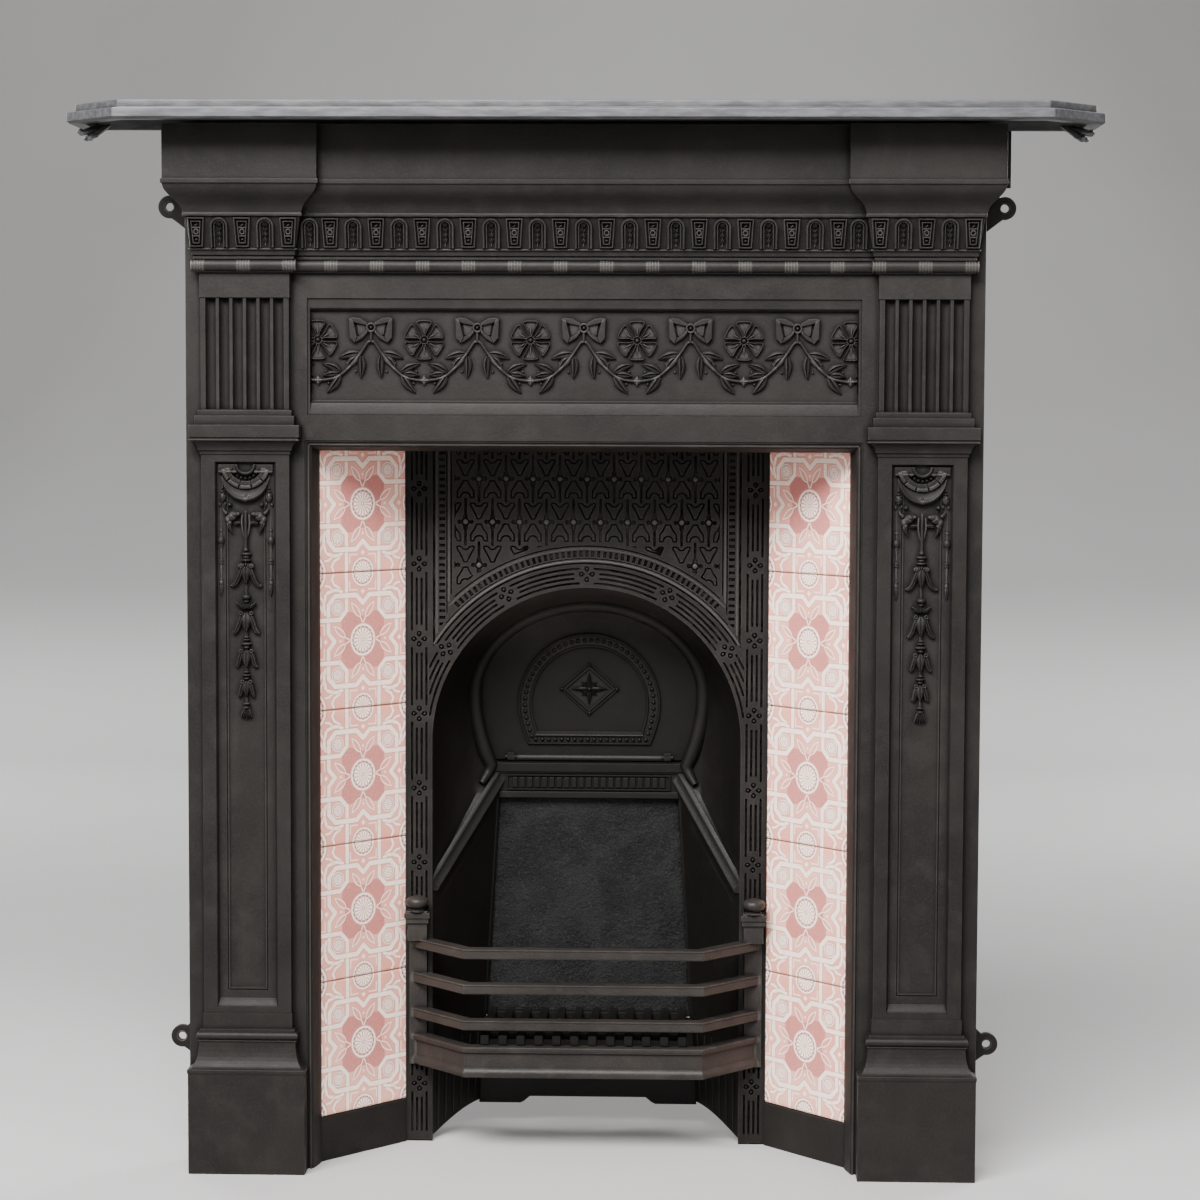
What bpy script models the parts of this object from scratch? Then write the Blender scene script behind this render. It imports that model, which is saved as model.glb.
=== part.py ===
# Cast-iron combination fireplace: a hollow-backed surround with pilasters, frieze and cornice,
# a mantel shelf, a splayed tiled insert with an arch plate, a hood with a hinged flue damper,
# a firebrick, a bottom grate and canted front bars.
# Units are metres, +Z is up and the front faces -Y. Depths are counted from the plinth's front
# face, positive towards the wall, and the parent empty then centres the whole on the origin.

import math

import bmesh
import bpy

# Driving sizes of the whole; heights add up from the tiles to the shelf
opening_width = 0.603
wall_depth = 0.075
tile_size = 0.1524
tile_rows = 5
tile_joint = 0.0004
tile_play = 0.0006
tile_ledge_height = 0.050
iron = 0.006
fit_gap = 0.0003

# Pilaster plan
reveal_margin = 0.0185
shaft_width = 0.097
shaft_front = 0.016
plane_setback = 0.011
flange_margin = 0.018
rear_strip_width = 0.013

# Pilaster heights and projections, from the floor up
plinth_height = 0.113
plinth_projection = 0.016
plinth_fillet = 0.004
scotia_height = 0.028
base_fillet = 0.003
base_torus = 0.009
base_torus_bulge = 0.004
base_step_projection = 0.005
base_block_height = 0.017
hairline = 0.001
impost_drop = 0.008
impost_cavetto = 0.011
impost_height = 0.017
impost_projection = 0.012
impost_start = 0.003
flute_foot = 0.016
flute_height = 0.122
neck_step = 0.006
neck_step_projection = 0.003
neck_height = 0.027

# Cornice heights and projections, from the neck up
astragal_height = 0.014
astragal_projection = 0.004
astragal_bulge = 0.005
cornice_fillets = 0.012
egg_band_height = 0.034
egg_band_bottom_projection = 0.009
egg_band_top_projection = 0.015
cyma_fillet = 0.004
cyma_height = 0.030
cyma_softness = 9.0
fascia_projection = 0.035
fascia_height = 0.064
fascia_bead = 0.005
fascia_bead_projection = 0.0015

# Fluting, shaft panel and frieze panel
flute_count = 6
flute_pitch = 0.0148
flute_radius = 0.0048
flute_end = 0.003
shaft_panel_width = 0.067
shaft_panel_bottom = 0.190
shaft_panel_drop = 0.012
shaft_panel_depth = 0.005
panel_step = 0.0015
panel_border = 0.0125
frieze_overrun = 0.0005
lintel_height = 0.031
frieze_rail = 0.014
frieze_side = 0.004
frieze_depth = 0.008
cut_proud = 0.002

# Ornament
egg_pitch = 0.0499
egg_width = 0.024
egg_height = 0.029
egg_relief = 0.005
band_sink = 0.004
dart_foot_width = 0.010
dart_head_width = 0.0143
frieze_pitch = 0.1162
rosette_drop = 0.043
rosette_radius = 0.0215
bow_drop = 0.032
bow_width = 0.048
garland_knot_drop = 0.0895
relief = 0.005
dome_share = 0.6
leaf_share = 0.5
leaf_middle = 0.45
drop_margin = 0.003
boss_drop = 0.010
fan_reach = 0.0135
husk_drops = (0.1053, 0.1652, 0.2067, 0.2419)
husk_widths = (0.032, 0.029, 0.024, 0.018)
husk_lengths = (0.0344, 0.0303, 0.0243, 0.0222)
husk_knob_rise = 0.0095

# Lugs
lug_radius = 0.0125
lug_hole_radius = 0.0045
lug_reach = 0.024
lower_lug_reach = 0.0156
lug_arc_start = math.radians(-100)
lug_arc_end = math.radians(115)
upper_lug_depth = 0.084
lower_lug_height = 0.139
lug_spread = 0.024
upper_lug_drop = 0.0312
rear_strip_height = 0.062

# Mantel shelf
shelf_height = 0.021
shelf_plate = 0.008
shelf_side_overhang = 0.040
shelf_overhang = 0.047
shelf_cant = 0.056
shelf_step = 0.009
shelf_lip = 0.010
shelf_bevel = 0.0015
shelf_hair = 0.0003
end_leaf_width = 0.036
end_leaf_drop = 0.017
end_leaf_depth = 0.030

# Tiled insert
frame_bevel_width = 0.008
frame_bevel_depth = 0.023
frame_flange = 0.008
tile_setback = 0.009
tile_thickness = 0.009
tile_cover = 0.01243
tile_head_lap = 0.0086
tray_proud = 0.0015
channel_wall = 0.005
plate_depth = 0.153
plate_thickness = 0.006
soffit_thickness = 0.005
strip_width = 0.031
arch_centre_height = 0.465
arch_segments = 24
arch_band_relief = 0.0025
reed_grooves = 4
reed_pitch = 0.0062
reed_width = 0.0024
reed_depth = 0.0015
reed_margin = 0.0045
dentil_gap = 0.0345
dentil_width = 0.013

# Hood and firebox
hood_thickness = 0.005
hood_back_depth = 0.246
hood_swell = 0.10
hood_front_ledge = 0.300
hood_back_ledge = 0.418
throat_foot_rise = 0.012
throat_foot_spread = 0.010
throat_centre_rise = 0.082
throat_margin = 0.045
throat_crown_rise = 0.101
hood_rows = 4
cheek_back_top_inset = 0.073
cheek_back_bottom_inset = 0.050
skirt_front_height = 0.006
skirt_back_height = 0.028
ledge_width = 0.010
ledge_height = 0.012
band_height = 0.032
band_thickness = 0.007
sill_depth = 0.020
lip_radius = 0.006
lip_sink = 0.0036

# Flue damper
damper_gap = 0.0015
damper_overlap = 0.003
damper_seat_gap = 0.0006
damper_thickness = 0.005
damper_lean = math.radians(2.0)
damper_lug_width = 0.009
damper_lug_inset = 0.021
damper_roll_height = 0.006
damper_panel_margin = 0.048
damper_panel_foot = 0.017
damper_panel_crown = 0.033
damper_panel_rim = 0.008
damper_relief = 0.004
damper_panel_taper = 0.93
lozenge_rise = 0.012
damper_lozenge_width = 0.064
damper_lozenge_height = 0.056

# Fireback brick, bottom grate and front bars
brick_thickness = 0.040
brick_gap = 0.0012
brick_wear = 0.002
grate_thickness = 0.012
grate_bars = 12
grate_bar_width = 0.010
grate_rail = 0.012
grate_clearance = 0.003
bars_front_depth = 0.080
bars_cant_run = 0.067
bars_end_inset = 0.005
bar_tops = (0.238, 0.198, 0.157)
bar_face = 0.0105
bar_depth = 0.016
bar_foot_inset = 0.002
bar_top_inset = 0.0015
apron_top = 0.127
apron_bottom = 0.092
apron_fillet = 0.005
post_width = 0.016
post_depth = 0.014
knob_inset = 0.015
knob_radius = 0.013
knob_height = 0.286
pedestal_height = 0.010
post_setback = 0.001
soft_angle = math.radians(35)

# Sizes that follow from the driving sizes
opening_half = opening_width / 2
frieze_plane = shaft_front + plane_setback
shaft_inner = opening_half + reveal_margin
shaft_outer = shaft_inner + shaft_width
shaft_centre = (shaft_inner + shaft_outer) / 2
flange_half = shaft_outer + flange_margin
tiles_top = tile_ledge_height + tile_rows * (tile_size + tile_joint) + tile_play
opening_height = tiles_top - tile_head_lap
impost_bottom = opening_height - impost_drop
flute_bottom = impost_bottom + impost_cavetto + impost_height + flute_foot
flute_top = flute_bottom + flute_height
neck_top = flute_top + neck_height
egg_band_bottom = neck_top + astragal_height + cornice_fillets
cyma_bottom = egg_band_bottom + egg_band_height + cyma_fillet
shelf_bottom = cyma_bottom + cyma_height + fascia_height
total_height = shelf_bottom + shelf_height
shelf_front = shaft_front - fascia_projection - shelf_overhang
shelf_front_half = shaft_outer + fascia_projection + shelf_side_overhang
shaft_panel_top = impost_bottom - shaft_panel_drop
drop_top = shaft_panel_top - drop_margin
frieze_half = opening_half + frieze_overrun
frieze_bottom = opening_height + lintel_height
frieze_top = flute_top
rosette_height = frieze_top - rosette_drop
bow_height = frieze_top - bow_drop
garland_knot_height = frieze_top - garland_knot_drop
upper_lug_height = shelf_bottom - upper_lug_depth
tile_run = tile_size - 2 * tile_cover
tile_outer = (opening_half - fit_gap - frame_bevel_width, frieze_plane + frame_bevel_depth + tile_setback)
plate_half = tile_outer[0] - math.sqrt(tile_run ** 2 - (plate_depth - tile_outer[1]) ** 2)
arch_radius = plate_half - strip_width
dentil_radius = arch_radius + dentil_gap
cheek_back_half_top = arch_radius - cheek_back_top_inset
cheek_back_half_bottom = arch_radius - cheek_back_bottom_inset
throat_bottom = hood_back_ledge + throat_foot_rise
throat_bottom_half = cheek_back_half_top + throat_foot_spread
throat_centre_height = throat_bottom + throat_centre_rise
throat_half = arch_radius - throat_margin
throat_top = throat_centre_height + throat_crown_rise
damper_panel_half = throat_half - damper_panel_margin
damper_panel_bottom = throat_bottom + damper_panel_foot
damper_panel_top = throat_top - damper_panel_crown
damper_lug_x = throat_bottom_half - damper_lug_inset
bars_end_half = plate_half - bars_end_inset
bars_front_half = bars_end_half - bars_cant_run
knob_x = plate_half - knob_inset
grate_seat = apron_top
brick_back = hood_back_depth + band_thickness / 2 + fit_gap + brick_thickness
depth_centre = (shelf_front + brick_back) / 2


# Meshes and objects

def clear_scene():
    for old in list(bpy.data.objects):
        bpy.data.objects.remove(old, do_unlink=True)


def make_material(name, colour, roughness, metallic):
    material = bpy.data.materials.new(name)
    material.use_nodes = True
    shader = material.node_tree.nodes["Principled BSDF"]
    shader.inputs["Base Color"].default_value = (*colour, 1.0)
    shader.inputs["Roughness"].default_value = roughness
    shader.inputs["Metallic"].default_value = metallic
    material.diffuse_color = (*colour, 1.0)
    return material


def join_shapes(shapes):
    verts = []
    faces = []
    for shape_verts, shape_faces in shapes:
        start = len(verts)
        verts.extend(shape_verts)
        faces.extend([tuple(index + start for index in face) for face in shape_faces])
    return verts, faces


def make_object(name, shape, parent, material=None):
    verts, faces = shape
    mesh = bpy.data.meshes.new(name)
    mesh.from_pydata(verts, [], faces)
    work = bmesh.new()
    work.from_mesh(mesh)
    bmesh.ops.recalc_face_normals(work, faces=work.faces)
    work.to_mesh(mesh)
    work.free()
    mesh.shade_smooth()
    mesh.set_sharp_from_angle(angle=soft_angle)
    item = bpy.data.objects.new(name, mesh)
    bpy.context.scene.collection.objects.link(item)
    item.parent = parent
    if material:
        mesh.materials.append(material)
    return item


def make_guide(name, shape, parent):
    item = make_object(name, shape, parent)
    item.hide_render = True
    item.display_type = "WIRE"
    return item


def boolean(item, guide, operation, own_overlaps=False):
    modifier = item.modifiers.new(guide.name, "BOOLEAN")
    modifier.operation = operation
    modifier.solver = "EXACT"
    modifier.use_self = own_overlaps
    modifier.object = guide
    return modifier


def merge_flats(item):
    """Joins faces that lie in one plane, which leaves the shape as it is."""
    modifier = item.modifiers.new("merge_flats", "DECIMATE")
    modifier.decimate_type = "DISSOLVE"
    modifier.angle_limit = math.radians(0.02)


# Closed shapes, each a pair of vertex and face lists

def loft(rings):
    size = len(rings[0])
    verts = [point for ring in rings for point in ring]
    faces = [tuple(range(size)), tuple(range(len(verts) - size, len(verts)))]
    for row in range(len(rings) - 1):
        for column in range(size):
            across = (column + 1) % size
            low = row * size
            high = low + size
            faces.append((low + column, low + across, high + across, high + column))
    return verts, faces


def box(x0, x1, y0, y1, z0, z1):
    return loft([[(x0, y0, z), (x1, y0, z), (x1, y1, z), (x0, y1, z)] for z in (z0, z1)])


def plan_prism(outline, z0, z1):
    return loft([[(x, y, z) for x, y in outline] for z in (z0, z1)])


def front_prism(outline, y0, y1):
    return loft([[(x, y, z) for x, z in outline] for y in (y0, y1)])


def front_stack(levels):
    """Stack of front-facing outlines, each given with its depth."""
    return loft([[(x, y, z) for x, z in outline] for y, outline in levels])


def rectangle(half, z0, z1, centre=0.0):
    return [(centre - half, z0), (centre + half, z0), (centre + half, z1), (centre - half, z1)]


def ellipse(x, z, rx, rz, sides, turn=0.0):
    points = []
    for step in range(sides):
        angle = turn + 2 * math.pi * step / sides
        points.append((x + rx * math.cos(angle), z + rz * math.sin(angle)))
    return points


def button(x, z, rx, rz, y, height, sides, sink=0.001, turn=0.0):
    """Low dome that stands on a front face at depth y and is sunk a little into it."""
    return front_stack([
        (y + sink, ellipse(x, z, rx, rz, sides, turn)),
        (y - height, ellipse(x, z, rx * dome_share, rz * dome_share, sides, turn)),
    ])


def leaf(x, z, angle, length, width, y, height, sink=0.001):
    """Pointed leaf on a front face, from its foot at x, z along the angle."""
    along = (math.cos(angle), math.sin(angle))
    aside = (-along[1], along[0])
    outline = [(0.0, 0.0), (0.4, 0.5), (1.0, 0.0), (0.4, -0.5)]

    def ring(shrink):
        points = []
        for share, offset in outline:
            run = (leaf_middle + (share - leaf_middle) * shrink) * length
            swing = offset * shrink * width
            points.append((x + along[0] * run + aside[0] * swing, z + along[1] * run + aside[1] * swing))
        return points

    return front_stack([(y + sink, ring(1.0)), (y - height, ring(leaf_share))])


def mirrored(shape):
    verts, faces = shape
    return [(-x, y, z) for x, y, z in verts], faces


# Moulding profiles, as height and projection pairs

def curve_points(z0, z1, p0, p1, steps, hollow):
    points = []
    for step in range(steps + 1):
        angle = math.pi / 2 * step / steps
        rise = 1 - math.cos(angle) if hollow else math.sin(angle)
        run = math.sin(angle) if hollow else 1 - math.cos(angle)
        points.append((z0 + (z1 - z0) * run, p0 + (p1 - p0) * rise))
    return points


def wave_points(z0, z1, p0, p1, steps):
    points = []
    for step in range(steps + 1):
        share = step / steps
        wave = share - math.sin(2 * math.pi * share) / cyma_softness
        points.append((z0 + (z1 - z0) * share, p0 + (p1 - p0) * wave))
    return points


def torus_points(z0, z1, p, bulge, steps):
    points = []
    for step in range(steps + 1):
        angle = math.pi * step / steps
        points.append(((z0 + z1) / 2 - (z1 - z0) / 2 * math.cos(angle), p + bulge * math.sin(angle)))
    return points


def cornice_profile():
    z = neck_top
    points = [(z, astragal_projection)]
    points += torus_points(z, z + astragal_height, astragal_projection, astragal_bulge, 4)[1:]
    z += astragal_height
    middle = (astragal_projection + egg_band_bottom_projection) / 2
    points += [(z, middle), (z + cornice_fillets / 2, middle)]
    points += [(z + cornice_fillets / 2, egg_band_bottom_projection)]
    z += cornice_fillets
    points += [(z, egg_band_bottom_projection), (z + egg_band_height, egg_band_top_projection)]
    z += egg_band_height
    lip = egg_band_top_projection + hairline
    points += [(z, lip), (z + cyma_fillet, lip)]
    z += cyma_fillet
    points += wave_points(z, z + cyma_height, lip, fascia_projection, 6)[1:]
    z += cyma_height
    bead = fascia_projection + fascia_bead_projection
    points += [(z, bead), (z + fascia_bead, bead), (z + fascia_bead, fascia_projection)]
    points += [(shelf_bottom - fit_gap, fascia_projection)]
    return points


def pilaster_profile():
    z = plinth_height
    block = base_step_projection - hairline
    points = [(0.0, plinth_projection), (z, plinth_projection), (z, plinth_projection + hairline)]
    z += plinth_fillet
    points += [(z, plinth_projection + hairline)]
    points += curve_points(z + scotia_height, z, base_step_projection, plinth_projection, 4, True)[::-1]
    z += scotia_height
    points += [(z + base_fillet, base_step_projection)]
    z += base_fillet
    points += torus_points(z, z + base_torus, block, base_torus_bulge, 4)
    z += base_torus
    points += [(z + base_fillet, block), (z + base_fillet, hairline)]
    z += base_fillet + base_block_height
    points += [(z, hairline), (z, 0.0), (impost_bottom, 0.0)]
    z = impost_bottom + impost_cavetto
    points += curve_points(impost_bottom, z, impost_start, impost_projection, 3, True)
    z += impost_height
    points += [(z, impost_projection), (z, neck_step_projection * 2)]
    points += [(flute_bottom - neck_step, neck_step_projection * 2)]
    points += [(flute_bottom - neck_step, neck_step_projection), (flute_bottom, neck_step_projection)]
    points += [(flute_bottom, 0.0), (flute_top, 0.0), (flute_top, hairline), (neck_top, hairline)]
    return points + cornice_profile()


def spread_levels(points):
    """Give every level its own height, so that a square step keeps a hair of slope."""
    hair = 0.0002
    levels = [points[0]]
    for z, p in points[1:]:
        if z <= levels[-1][0] + hair and abs(p - levels[-1][1]) < hair:
            continue
        levels.append((max(z, levels[-1][0] + hair), p))
    return levels


def inner_projection(levels, z):
    """Projection of the hollow back at a height: one wall behind the nearest of the face."""
    near = [p for height, p in levels if abs(height - z) <= iron]
    for (z0, p0), (z1, p1) in zip(levels, levels[1:]):
        for probe in (z - iron, z + iron):
            if z0 <= probe <= z1:
                near.append(p0 + (p1 - p0) * (probe - z0) / (z1 - z0))
    return min(near) - iron


# Surround casting

def surround_shell():
    levels = spread_levels(pilaster_profile())
    rail_levels = [(z, p if z > neck_top else 0.0) for z, p in levels]
    rings = []
    for (z, p), (_, q) in zip(levels, rail_levels):
        side = max(flange_half, shaft_outer + p + hairline)
        back_p = inner_projection(levels, z)
        back_q = inner_projection(rail_levels, z)
        if frieze_bottom - iron < z < frieze_top + iron:
            back_q = -frieze_depth - iron
        outer_side = [
            (side, wall_depth), (side, frieze_plane), (shaft_outer + p, frieze_plane),
            (shaft_outer + p, shaft_front - p), (shaft_inner - p, shaft_front - p),
            (shaft_inner - p, frieze_plane - q),
        ]
        hollow = min(shaft_outer + back_p, side - iron - hairline)
        inner_side = [
            (side - iron, wall_depth), (side - iron, frieze_plane + iron),
            (hollow, frieze_plane + iron), (hollow, shaft_front - back_p),
            (shaft_inner - back_p, shaft_front - back_p), (shaft_inner - back_p, frieze_plane - back_q),
        ]
        plan = outer_side + [(-x, y) for x, y in reversed(outer_side)]
        plan += [(-x, y) for x, y in inner_side] + list(reversed(inner_side))
        rings.append([(x, y, z) for x, y in plan])
    return loft(rings)


def frieze_recess():
    """Sunk field whose sides step in a little before they slope down to the floor."""
    half = frieze_half
    step = frieze_rail * 0.45
    inner = half - frieze_side
    return front_stack([
        (frieze_plane - cut_proud, rectangle(half, frieze_bottom, frieze_top)),
        (frieze_plane + frieze_depth * 0.35, rectangle(half, frieze_bottom, frieze_top)),
        (frieze_plane + frieze_depth * 0.4,
         rectangle(half - frieze_side / 2, frieze_bottom + step, frieze_top - step)),
        (frieze_plane + frieze_depth,
         rectangle(inner, frieze_bottom + frieze_rail, frieze_top - frieze_rail)),
    ])


def shaft_recess(side):
    """Sunk panel with a flat border half-way down, inside a stepped edge."""
    half = shaft_panel_width / 2
    centre = side * shaft_centre
    shares = (0.4, 0.45, 0.5, 1.0)
    insets = (0.0, panel_step, panel_border, panel_border + panel_step)
    stages = [(-cut_proud, 0.0)]
    stages += [(shaft_panel_depth * share, inset) for share, inset in zip(shares, insets)]
    levels = []
    for depth, inset in stages:
        outline = rectangle(half - inset, shaft_panel_bottom + inset, shaft_panel_top - inset, centre)
        levels.append((shaft_front + depth, outline))
    return front_stack(levels)


def flute(x):
    """Hollow flute, cut by a half-round bar with square ends."""
    sides = 6
    rings = []
    for z in (flute_bottom + flute_end, flute_top - flute_end):
        ring = [(x - flute_radius, shaft_front - cut_proud, z)]
        for step in range(sides + 1):
            angle = math.pi * step / sides
            x1 = x - flute_radius * math.cos(angle)
            ring.append((x1, shaft_front + flute_radius * math.sin(angle), z))
        ring.append((x + flute_radius, shaft_front - cut_proud, z))
        rings.append(ring)
    return loft(rings)


def opening_cut():
    return box(-opening_half, opening_half, frieze_plane - iron, wall_depth + iron, -iron, opening_height)


def lug_outline(x, z, root_x, root_low, root_high):
    points = [(root_x, root_high), (root_x, root_low)]
    steps = 10
    for step in range(steps + 1):
        angle = lug_arc_start + (lug_arc_end - lug_arc_start) * step / steps
        points.append((x + lug_radius * math.cos(angle), z + lug_radius * math.sin(angle)))
    return points


def lugs():
    y0 = wall_depth - iron
    root = flange_half - iron / 2
    upper = lug_outline(flange_half + lug_reach, upper_lug_height, root,
                        upper_lug_height - upper_lug_drop, upper_lug_height + lug_spread)
    lower = lug_outline(flange_half + lower_lug_reach, lower_lug_height, root,
                        lower_lug_height - lug_spread, lower_lug_height + lug_spread)
    inner = shaft_outer + fascia_projection - iron / 2
    outer = inner + rear_strip_width + iron / 2
    low = shelf_bottom - rear_strip_height
    high = shelf_bottom - fit_gap
    strip = [(inner, low), (outer, low), (outer, high), (inner, high)]
    shapes = []
    for outline in (upper, lower, strip):
        plate = front_prism(outline, y0, wall_depth)
        shapes += [plate, mirrored(plate)]
    return shapes


def lug_holes():
    y0 = wall_depth - 2 * iron
    y1 = wall_depth + iron
    radius = lug_hole_radius
    shapes = []
    for reach, height in ((lug_reach, upper_lug_height), (lower_lug_reach, lower_lug_height)):
        hole = front_prism(ellipse(flange_half + reach, height, radius, radius, 12), y0, y1)
        shapes += [hole, mirrored(hole)]
    return shapes


def egg_band():
    """Eggs and darts on the sloping band, over the centre and both pilasters."""
    middle = egg_band_bottom + egg_band_height / 2
    face = (egg_band_bottom_projection + egg_band_top_projection) / 2
    half = int((shaft_inner - face - egg_width / 2) / egg_pitch)
    eggs = [(index * egg_pitch, frieze_plane - face) for index in range(-half, half + 1)]
    darts = [((index + 0.5) * egg_pitch, frieze_plane - face) for index in range(-half, half)]
    for side in (-1, 1):
        eggs += [(side * shaft_centre + step * egg_pitch, shaft_front - face) for step in (-0.5, 0.5)]
        darts += [(side * shaft_centre + step * egg_pitch, shaft_front - face) for step in (-1, 0, 1)]
    shapes = [button(x, middle, egg_width / 2, egg_height / 2, y, egg_relief, 8, band_sink) for x, y in eggs]
    return shapes + [dart(x, middle, y) for x, y in darts]


def dart(x, z, y):
    half = egg_height / 2
    foot = dart_foot_width / 2
    head = dart_head_width / 2
    outline = [(x - foot, z - half), (x + foot, z - half), (x + head, z + half), (x - head, z + half)]
    return front_prism(outline, y + band_sink, y - egg_relief)


def rosette(x, y):
    petals = 6
    reach = rosette_radius * 0.66
    petal = rosette_radius * 0.31
    eye = rosette_radius * 0.26
    shapes = []
    for index in range(petals):
        angle = math.pi / 2 + 2 * math.pi * index / petals
        shapes.append(button(x + reach * math.cos(angle), rosette_height + reach * math.sin(angle),
                             petal, petal, y, relief * 0.8, 6, turn=angle))
    shapes.append(button(x, rosette_height, eye, eye, y, relief, 6))
    return shapes


def bow(x, y):
    """Two loops and two hanging ends about a knot."""
    loop_length = bow_width * 0.36
    loop_width = bow_width * 0.30
    end_length = bow_width * 0.27
    end_width = bow_width * 0.14
    knot = bow_width * 0.1
    shapes = []
    for side in (-1, 1):
        shapes.append(leaf(x + side * bow_width * 0.13, bow_height, math.pi / 2 - side * math.radians(78),
                           loop_length, loop_width, y, relief))
        shapes.append(leaf(x + side * knot, bow_height - 0.006, math.pi / 2 - side * math.radians(125),
                           end_length, end_width, y, relief * 0.7, 0.0015))
    shapes.append(button(x, bow_height, knot, knot, y, relief * 1.1, 6, 0.002))
    return shapes


def garland_branch(x, side, y):
    """Leafy branch from a bow down to the knot under the next rosette."""
    leaf_length = 0.0165
    leaf_width = 0.0085
    start = 0.006
    span = frieze_pitch / 2 - 0.022
    top = bow_height - 0.020
    sag = 1.15
    leaves = 4
    shapes = []
    for index in range(leaves):
        upright = index % 2
        share = (index + 0.35) / leaves
        px = x + side * (start + share * span)
        pz = top + (garland_knot_height - top) * share ** sag
        lift = math.radians(35 if upright else -62)
        angle = lift if side > 0 else math.pi - lift
        shapes.append(leaf(px, pz, angle, leaf_length, leaf_width, y, relief * (0.65 if upright else 0.85),
                           0.0014 if upright else 0.001))
    return shapes


def frieze_ornament():
    y = frieze_plane + frieze_depth
    shapes = []
    half_bows = int((frieze_half) / frieze_pitch)
    for index in range(-half_bows, half_bows + 1):
        x = index * frieze_pitch
        shapes += bow(x, y)
        for side in (-1, 1):
            shapes += garland_branch(x, side, y)
    for index in range(-half_bows, half_bows):
        x = (index + 0.5) * frieze_pitch
        shapes += rosette(x, y)
        shapes.append(button(x, garland_knot_height, 0.006, 0.004, y, relief * 0.8, 6))
    return shapes


def husk(x, z, length, width, y):
    """Bell of three leaves; the outer two stand clear of the middle one."""
    shapes = [leaf(x, z, -math.pi / 2, length, width * 0.34, y, relief)]
    for side in (-1, 1):
        shapes.append(leaf(x + side * width * 0.34, z - length * 0.04, -math.pi / 2 + side * math.radians(9),
                           length * 0.84, width * 0.28, y, relief * 0.85))
    return shapes


def shaft_drop(side):
    """Swag, mask cluster and diminishing husks hung down the shaft's panel."""
    x = side * shaft_centre
    y = shaft_front + shaft_panel_depth
    border = shaft_front + shaft_panel_depth / 2
    boss = drop_top - boss_drop
    shapes = [button(x, boss, 0.011, 0.011, y, relief, 10, 0.002)]
    arms = 7
    for index in range(arms):
        angle = math.pi + math.pi * (index + 0.5) / arms
        shapes.append(leaf(x + fan_reach * math.cos(angle), boss + fan_reach * math.sin(angle),
                           angle, 0.015, 0.0062, y, relief * 0.85))
    bead_pitch = 0.026
    for flank in (-1, 1):
        shapes.append(leaf(x + flank * 0.0125, drop_top - 0.045, -math.pi / 2 - flank * 0.15,
                           0.030, 0.011, y, relief))
        for index in range(4):
            z = drop_top - 0.036 - index * bead_pitch
            shapes.append(button(x + flank * 0.027, z, 0.003, 0.0095, border, relief * 0.6, 6))
    shapes.append(button(x, drop_top - 0.066, 0.003, 0.014, y, relief * 0.9, 6))
    for drop, width, length in zip(husk_drops, husk_widths, husk_lengths):
        shapes.append(button(x, drop_top - drop + husk_knob_rise, 0.0042, 0.003, y, relief * 0.9, 6))
        shapes += husk(x, drop_top - drop, length, width, y)
    return shapes


def build_surround(parent, material):
    casting = make_object("surround_casting", surround_shell(), parent, material)
    cuts = [opening_cut(), frieze_recess(), shaft_recess(-1), shaft_recess(1)]
    for side in (-1, 1):
        for index in range(flute_count):
            cuts.append(flute(side * shaft_centre + (index - (flute_count - 1) / 2) * flute_pitch))
    boolean(casting, make_guide("surround_cuts", join_shapes(cuts), parent), "DIFFERENCE")
    raised = egg_band() + frieze_ornament() + shaft_drop(-1) + shaft_drop(1) + lugs()
    boolean(casting, make_guide("surround_ornament", join_shapes(raised), parent), "UNION", True)
    boolean(casting, make_guide("surround_holes", join_shapes(lug_holes()), parent), "DIFFERENCE")
    merge_flats(casting)
    return casting


# Mantel shelf

def shelf_outline(grow, back):
    """Plan of the shelf grown by a margin; its canted corners stay in line."""
    half = shelf_front_half + grow * 0.4
    side = shelf_front_half + shelf_cant + grow
    front = shelf_front + shelf_step - grow
    corner = front + shelf_cant + grow * 0.6
    return [(-half, front), (half, front), (side, corner), (side, back), (-side, back), (-side, corner)]


def shelf_end_leaf():
    """Carved leaf that hangs under the shelf's end, just behind the canted corner."""
    side = shelf_front_half + shelf_cant
    front = shelf_front + shelf_step + shelf_cant - end_leaf_drop / 4
    rings = []
    for drop, reach in ((-0.004, 0.0), (end_leaf_drop / 3, 0.006), (end_leaf_drop, 0.020)):
        x0 = side - end_leaf_width + reach / 2
        x1 = side - reach
        y1 = front + end_leaf_depth - reach * 0.7
        z = shelf_bottom - drop
        rings.append([(x0, front, z), (x1, front, z), (x1, y1, z), (x0, y1, z)])
    return loft(rings)


def build_shelf(parent, material):
    top = total_height
    back = wall_depth
    plate_bottom = top - shelf_plate
    levels = [
        (top, shelf_outline(-hairline, back)), (top - shelf_bevel, shelf_outline(0.0, back)),
        (plate_bottom, shelf_outline(0.0, back)),
        (plate_bottom - shelf_hair, shelf_outline(shelf_step, back)),
        (shelf_bottom + 2 * hairline, shelf_outline(shelf_step, back)),
        (shelf_bottom, shelf_outline(shelf_step - 2 * hairline, back)),
        (shelf_bottom + shelf_hair / 3, shelf_outline(-shelf_lip, back - iron)),
        (plate_bottom + shelf_bevel, shelf_outline(-shelf_lip, back - iron)),
    ]
    shelf = make_object("mantel_shelf", loft([[(x, y, z) for x, y in outline] for z, outline in levels]),
                        parent, material)
    leaf_shape = shelf_end_leaf()
    guide = make_guide("shelf_leaves", join_shapes([leaf_shape, mirrored(leaf_shape)]), parent)
    boolean(shelf, guide, "UNION")
    return shelf


# Tiled insert: frame, tile channels and arch plate

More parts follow.
